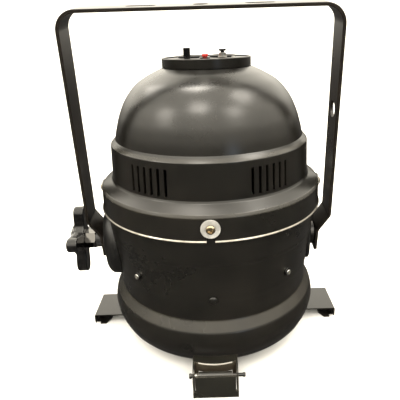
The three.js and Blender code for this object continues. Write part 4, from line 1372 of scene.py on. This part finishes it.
def stage_bowl():
    """A flat pale floor whose rim rises all round as a backdrop."""
    profile = [(0, FLOOR_LEVEL), (1500, FLOOR_LEVEL), (FLOOR_RADIUS, FLOOR_LEVEL)]
    for a in np.linspace(0.1, math.pi / 2, 14):
        radius = FLOOR_RADIUS + RIM_ROUNDING * math.sin(a)
        profile.append((radius, FLOOR_LEVEL + RIM_ROUNDING * (1 - math.cos(a))))
    profile.append((FLOOR_RADIUS + RIM_ROUNDING, RIM_HEIGHT))
    segments, vertices, faces = 96, [(0, 0, FLOOR_LEVEL)], []
    for radius, height in profile[1:]:
        for k in range(segments):
            a = 2 * math.pi * k / segments
            vertices.append((radius * math.cos(a), radius * math.sin(a), height))
    for k in range(segments):
        faces.append([0, 1 + k, 1 + (k + 1) % segments])
        for r in range(len(profile) - 2):
            first = 1 + r * segments
            n = (k + 1) % segments
            faces.append([first + k, first + segments + k, first + segments + n, first + n])
    mesh = bpy.data.meshes.new("floor")
    mesh.from_pydata([Vector(v) * MM for v in vertices], [], faces)
    mesh.polygons.foreach_set("use_smooth", [True] * len(mesh.polygons))
    bowl = bpy.data.objects.new("floor", mesh)
    bpy.context.scene.collection.objects.link(bowl)
    mesh.materials.append(floor_look())
    return bowl


floor = stage_bowl()
floor.visible_glossy = False  # the enamel mirrors the dim lower sky, not the white floor


def area_light(name, place, target, size, power, colour=(1, 1, 1), shape="DISK"):
    data = bpy.data.lights.new(name, "AREA")
    data.shape = shape
    data.size = size
    data.energy = power
    data.color = colour
    lamp = bpy.data.objects.new(name, data)
    bpy.context.scene.collection.objects.link(lamp)
    lamp.location = place
    lamp.rotation_euler = (Vector(target) - Vector(place)).to_track_quat("-Z", "Y").to_euler()
    return lamp


WARM = (1.0, 0.94, 0.84)
CEILING_HEIGHT = 1.9
DOME = Vector((0, 0, 0.24))
PANEL_SPREAD = 0.29  # side of a panel for each metre between it and the dome
PANEL_RADIANCE = 15
CEILING_PANELS = (  # X, Y and share of the radiance
    (-1.45, 1.2, 0.45),
    (-0.25, 0.25, 1.5),
    (1.01, -0.17, 0.9),
    (-2.0, -1.05, 0.6),
    (-0.31, -1.12, 1.0),
    (1.15, -1.3, 0.6),
)
for panel, (x, y, share) in enumerate(CEILING_PANELS, 1):
    place = Vector((x, y, CEILING_HEIGHT))
    side = PANEL_SPREAD * (place - DOME).length
    power = share * PANEL_RADIANCE * math.pi * side**2
    area_light(f"ceiling_panel_{panel}", place, DOME, side, power, WARM, "SQUARE")
area_light("window_soft", (1.5, -2.9, 0.5), (0, 0, 0.15), 0.7, 5, (0.66, 0.80, 1.0))

# The sky is one large warm softbox: bright overhead and low behind the lamp, dim in front and below.
SKY_LEAN = 0.14
SKY_DIM = (0.11, 0.103, 0.093, 1)
SKY_BRIGHT = (3.3, 3.1, 2.65, 1)


def studio_sky():
    world = bpy.data.worlds.new("studio")
    world.use_nodes = True
    nodes, links = world.node_tree.nodes, world.node_tree.links
    direction = nodes.new("ShaderNodeTexCoord")
    split = nodes.new("ShaderNodeSeparateXYZ")
    links.new(direction.outputs["Generated"], split.inputs[0])
    lean = nodes.new("ShaderNodeMath")
    lean.operation = "MULTIPLY_ADD"
    lean.inputs[1].default_value = SKY_LEAN
    links.new(split.outputs["Y"], lean.inputs[0])
    links.new(split.outputs["Z"], lean.inputs[2])
    share = nodes.new("ShaderNodeMapRange")
    share.interpolation_type = "SMOOTHSTEP"
    share.inputs["From Min"].default_value = 0.0
    share.inputs["From Max"].default_value = 0.5
    links.new(lean.outputs[0], share.inputs["Value"])
    blend = nodes.new("ShaderNodeMix")
    blend.data_type = "RGBA"
    links.new(share.outputs["Result"], blend.inputs[0])
    blend.inputs[6].default_value = SKY_DIM
    blend.inputs[7].default_value = SKY_BRIGHT
    links.new(blend.outputs[2], nodes["Background"].inputs["Color"])
    return world


bpy.context.scene.world = studio_sky()

# The camera stands level with the connector panel, 0.4 m in front of the beam axis.
EYE = Vector((0.0049, -0.400, 0.292))
YAW, PITCH, ROLL = math.radians(0.14), math.radians(21.12), math.radians(-1.68)
ahead = Vector((math.sin(YAW) * math.cos(PITCH), math.cos(YAW) * math.cos(PITCH), -math.sin(PITCH)))
right = Vector((math.cos(YAW), -math.sin(YAW), 0))
up = right.cross(ahead)
right, up = right * math.cos(ROLL) + up * math.sin(ROLL), up * math.cos(ROLL) - right * math.sin(ROLL)
camera_data = bpy.data.cameras.new("camera")
camera_data.sensor_width = 36
camera_data.lens = 37.71
camera_data.shift_x = -0.042
camera_data.shift_y = -0.0078
camera_data.clip_start = 0.01
camera = bpy.data.objects.new("camera", camera_data)
bpy.context.scene.collection.objects.link(camera)
camera.matrix_world = axes(right, up, -ahead, EYE / MM)
bpy.context.scene.camera = camera
bpy.context.scene.view_settings.view_transform = "Standard"
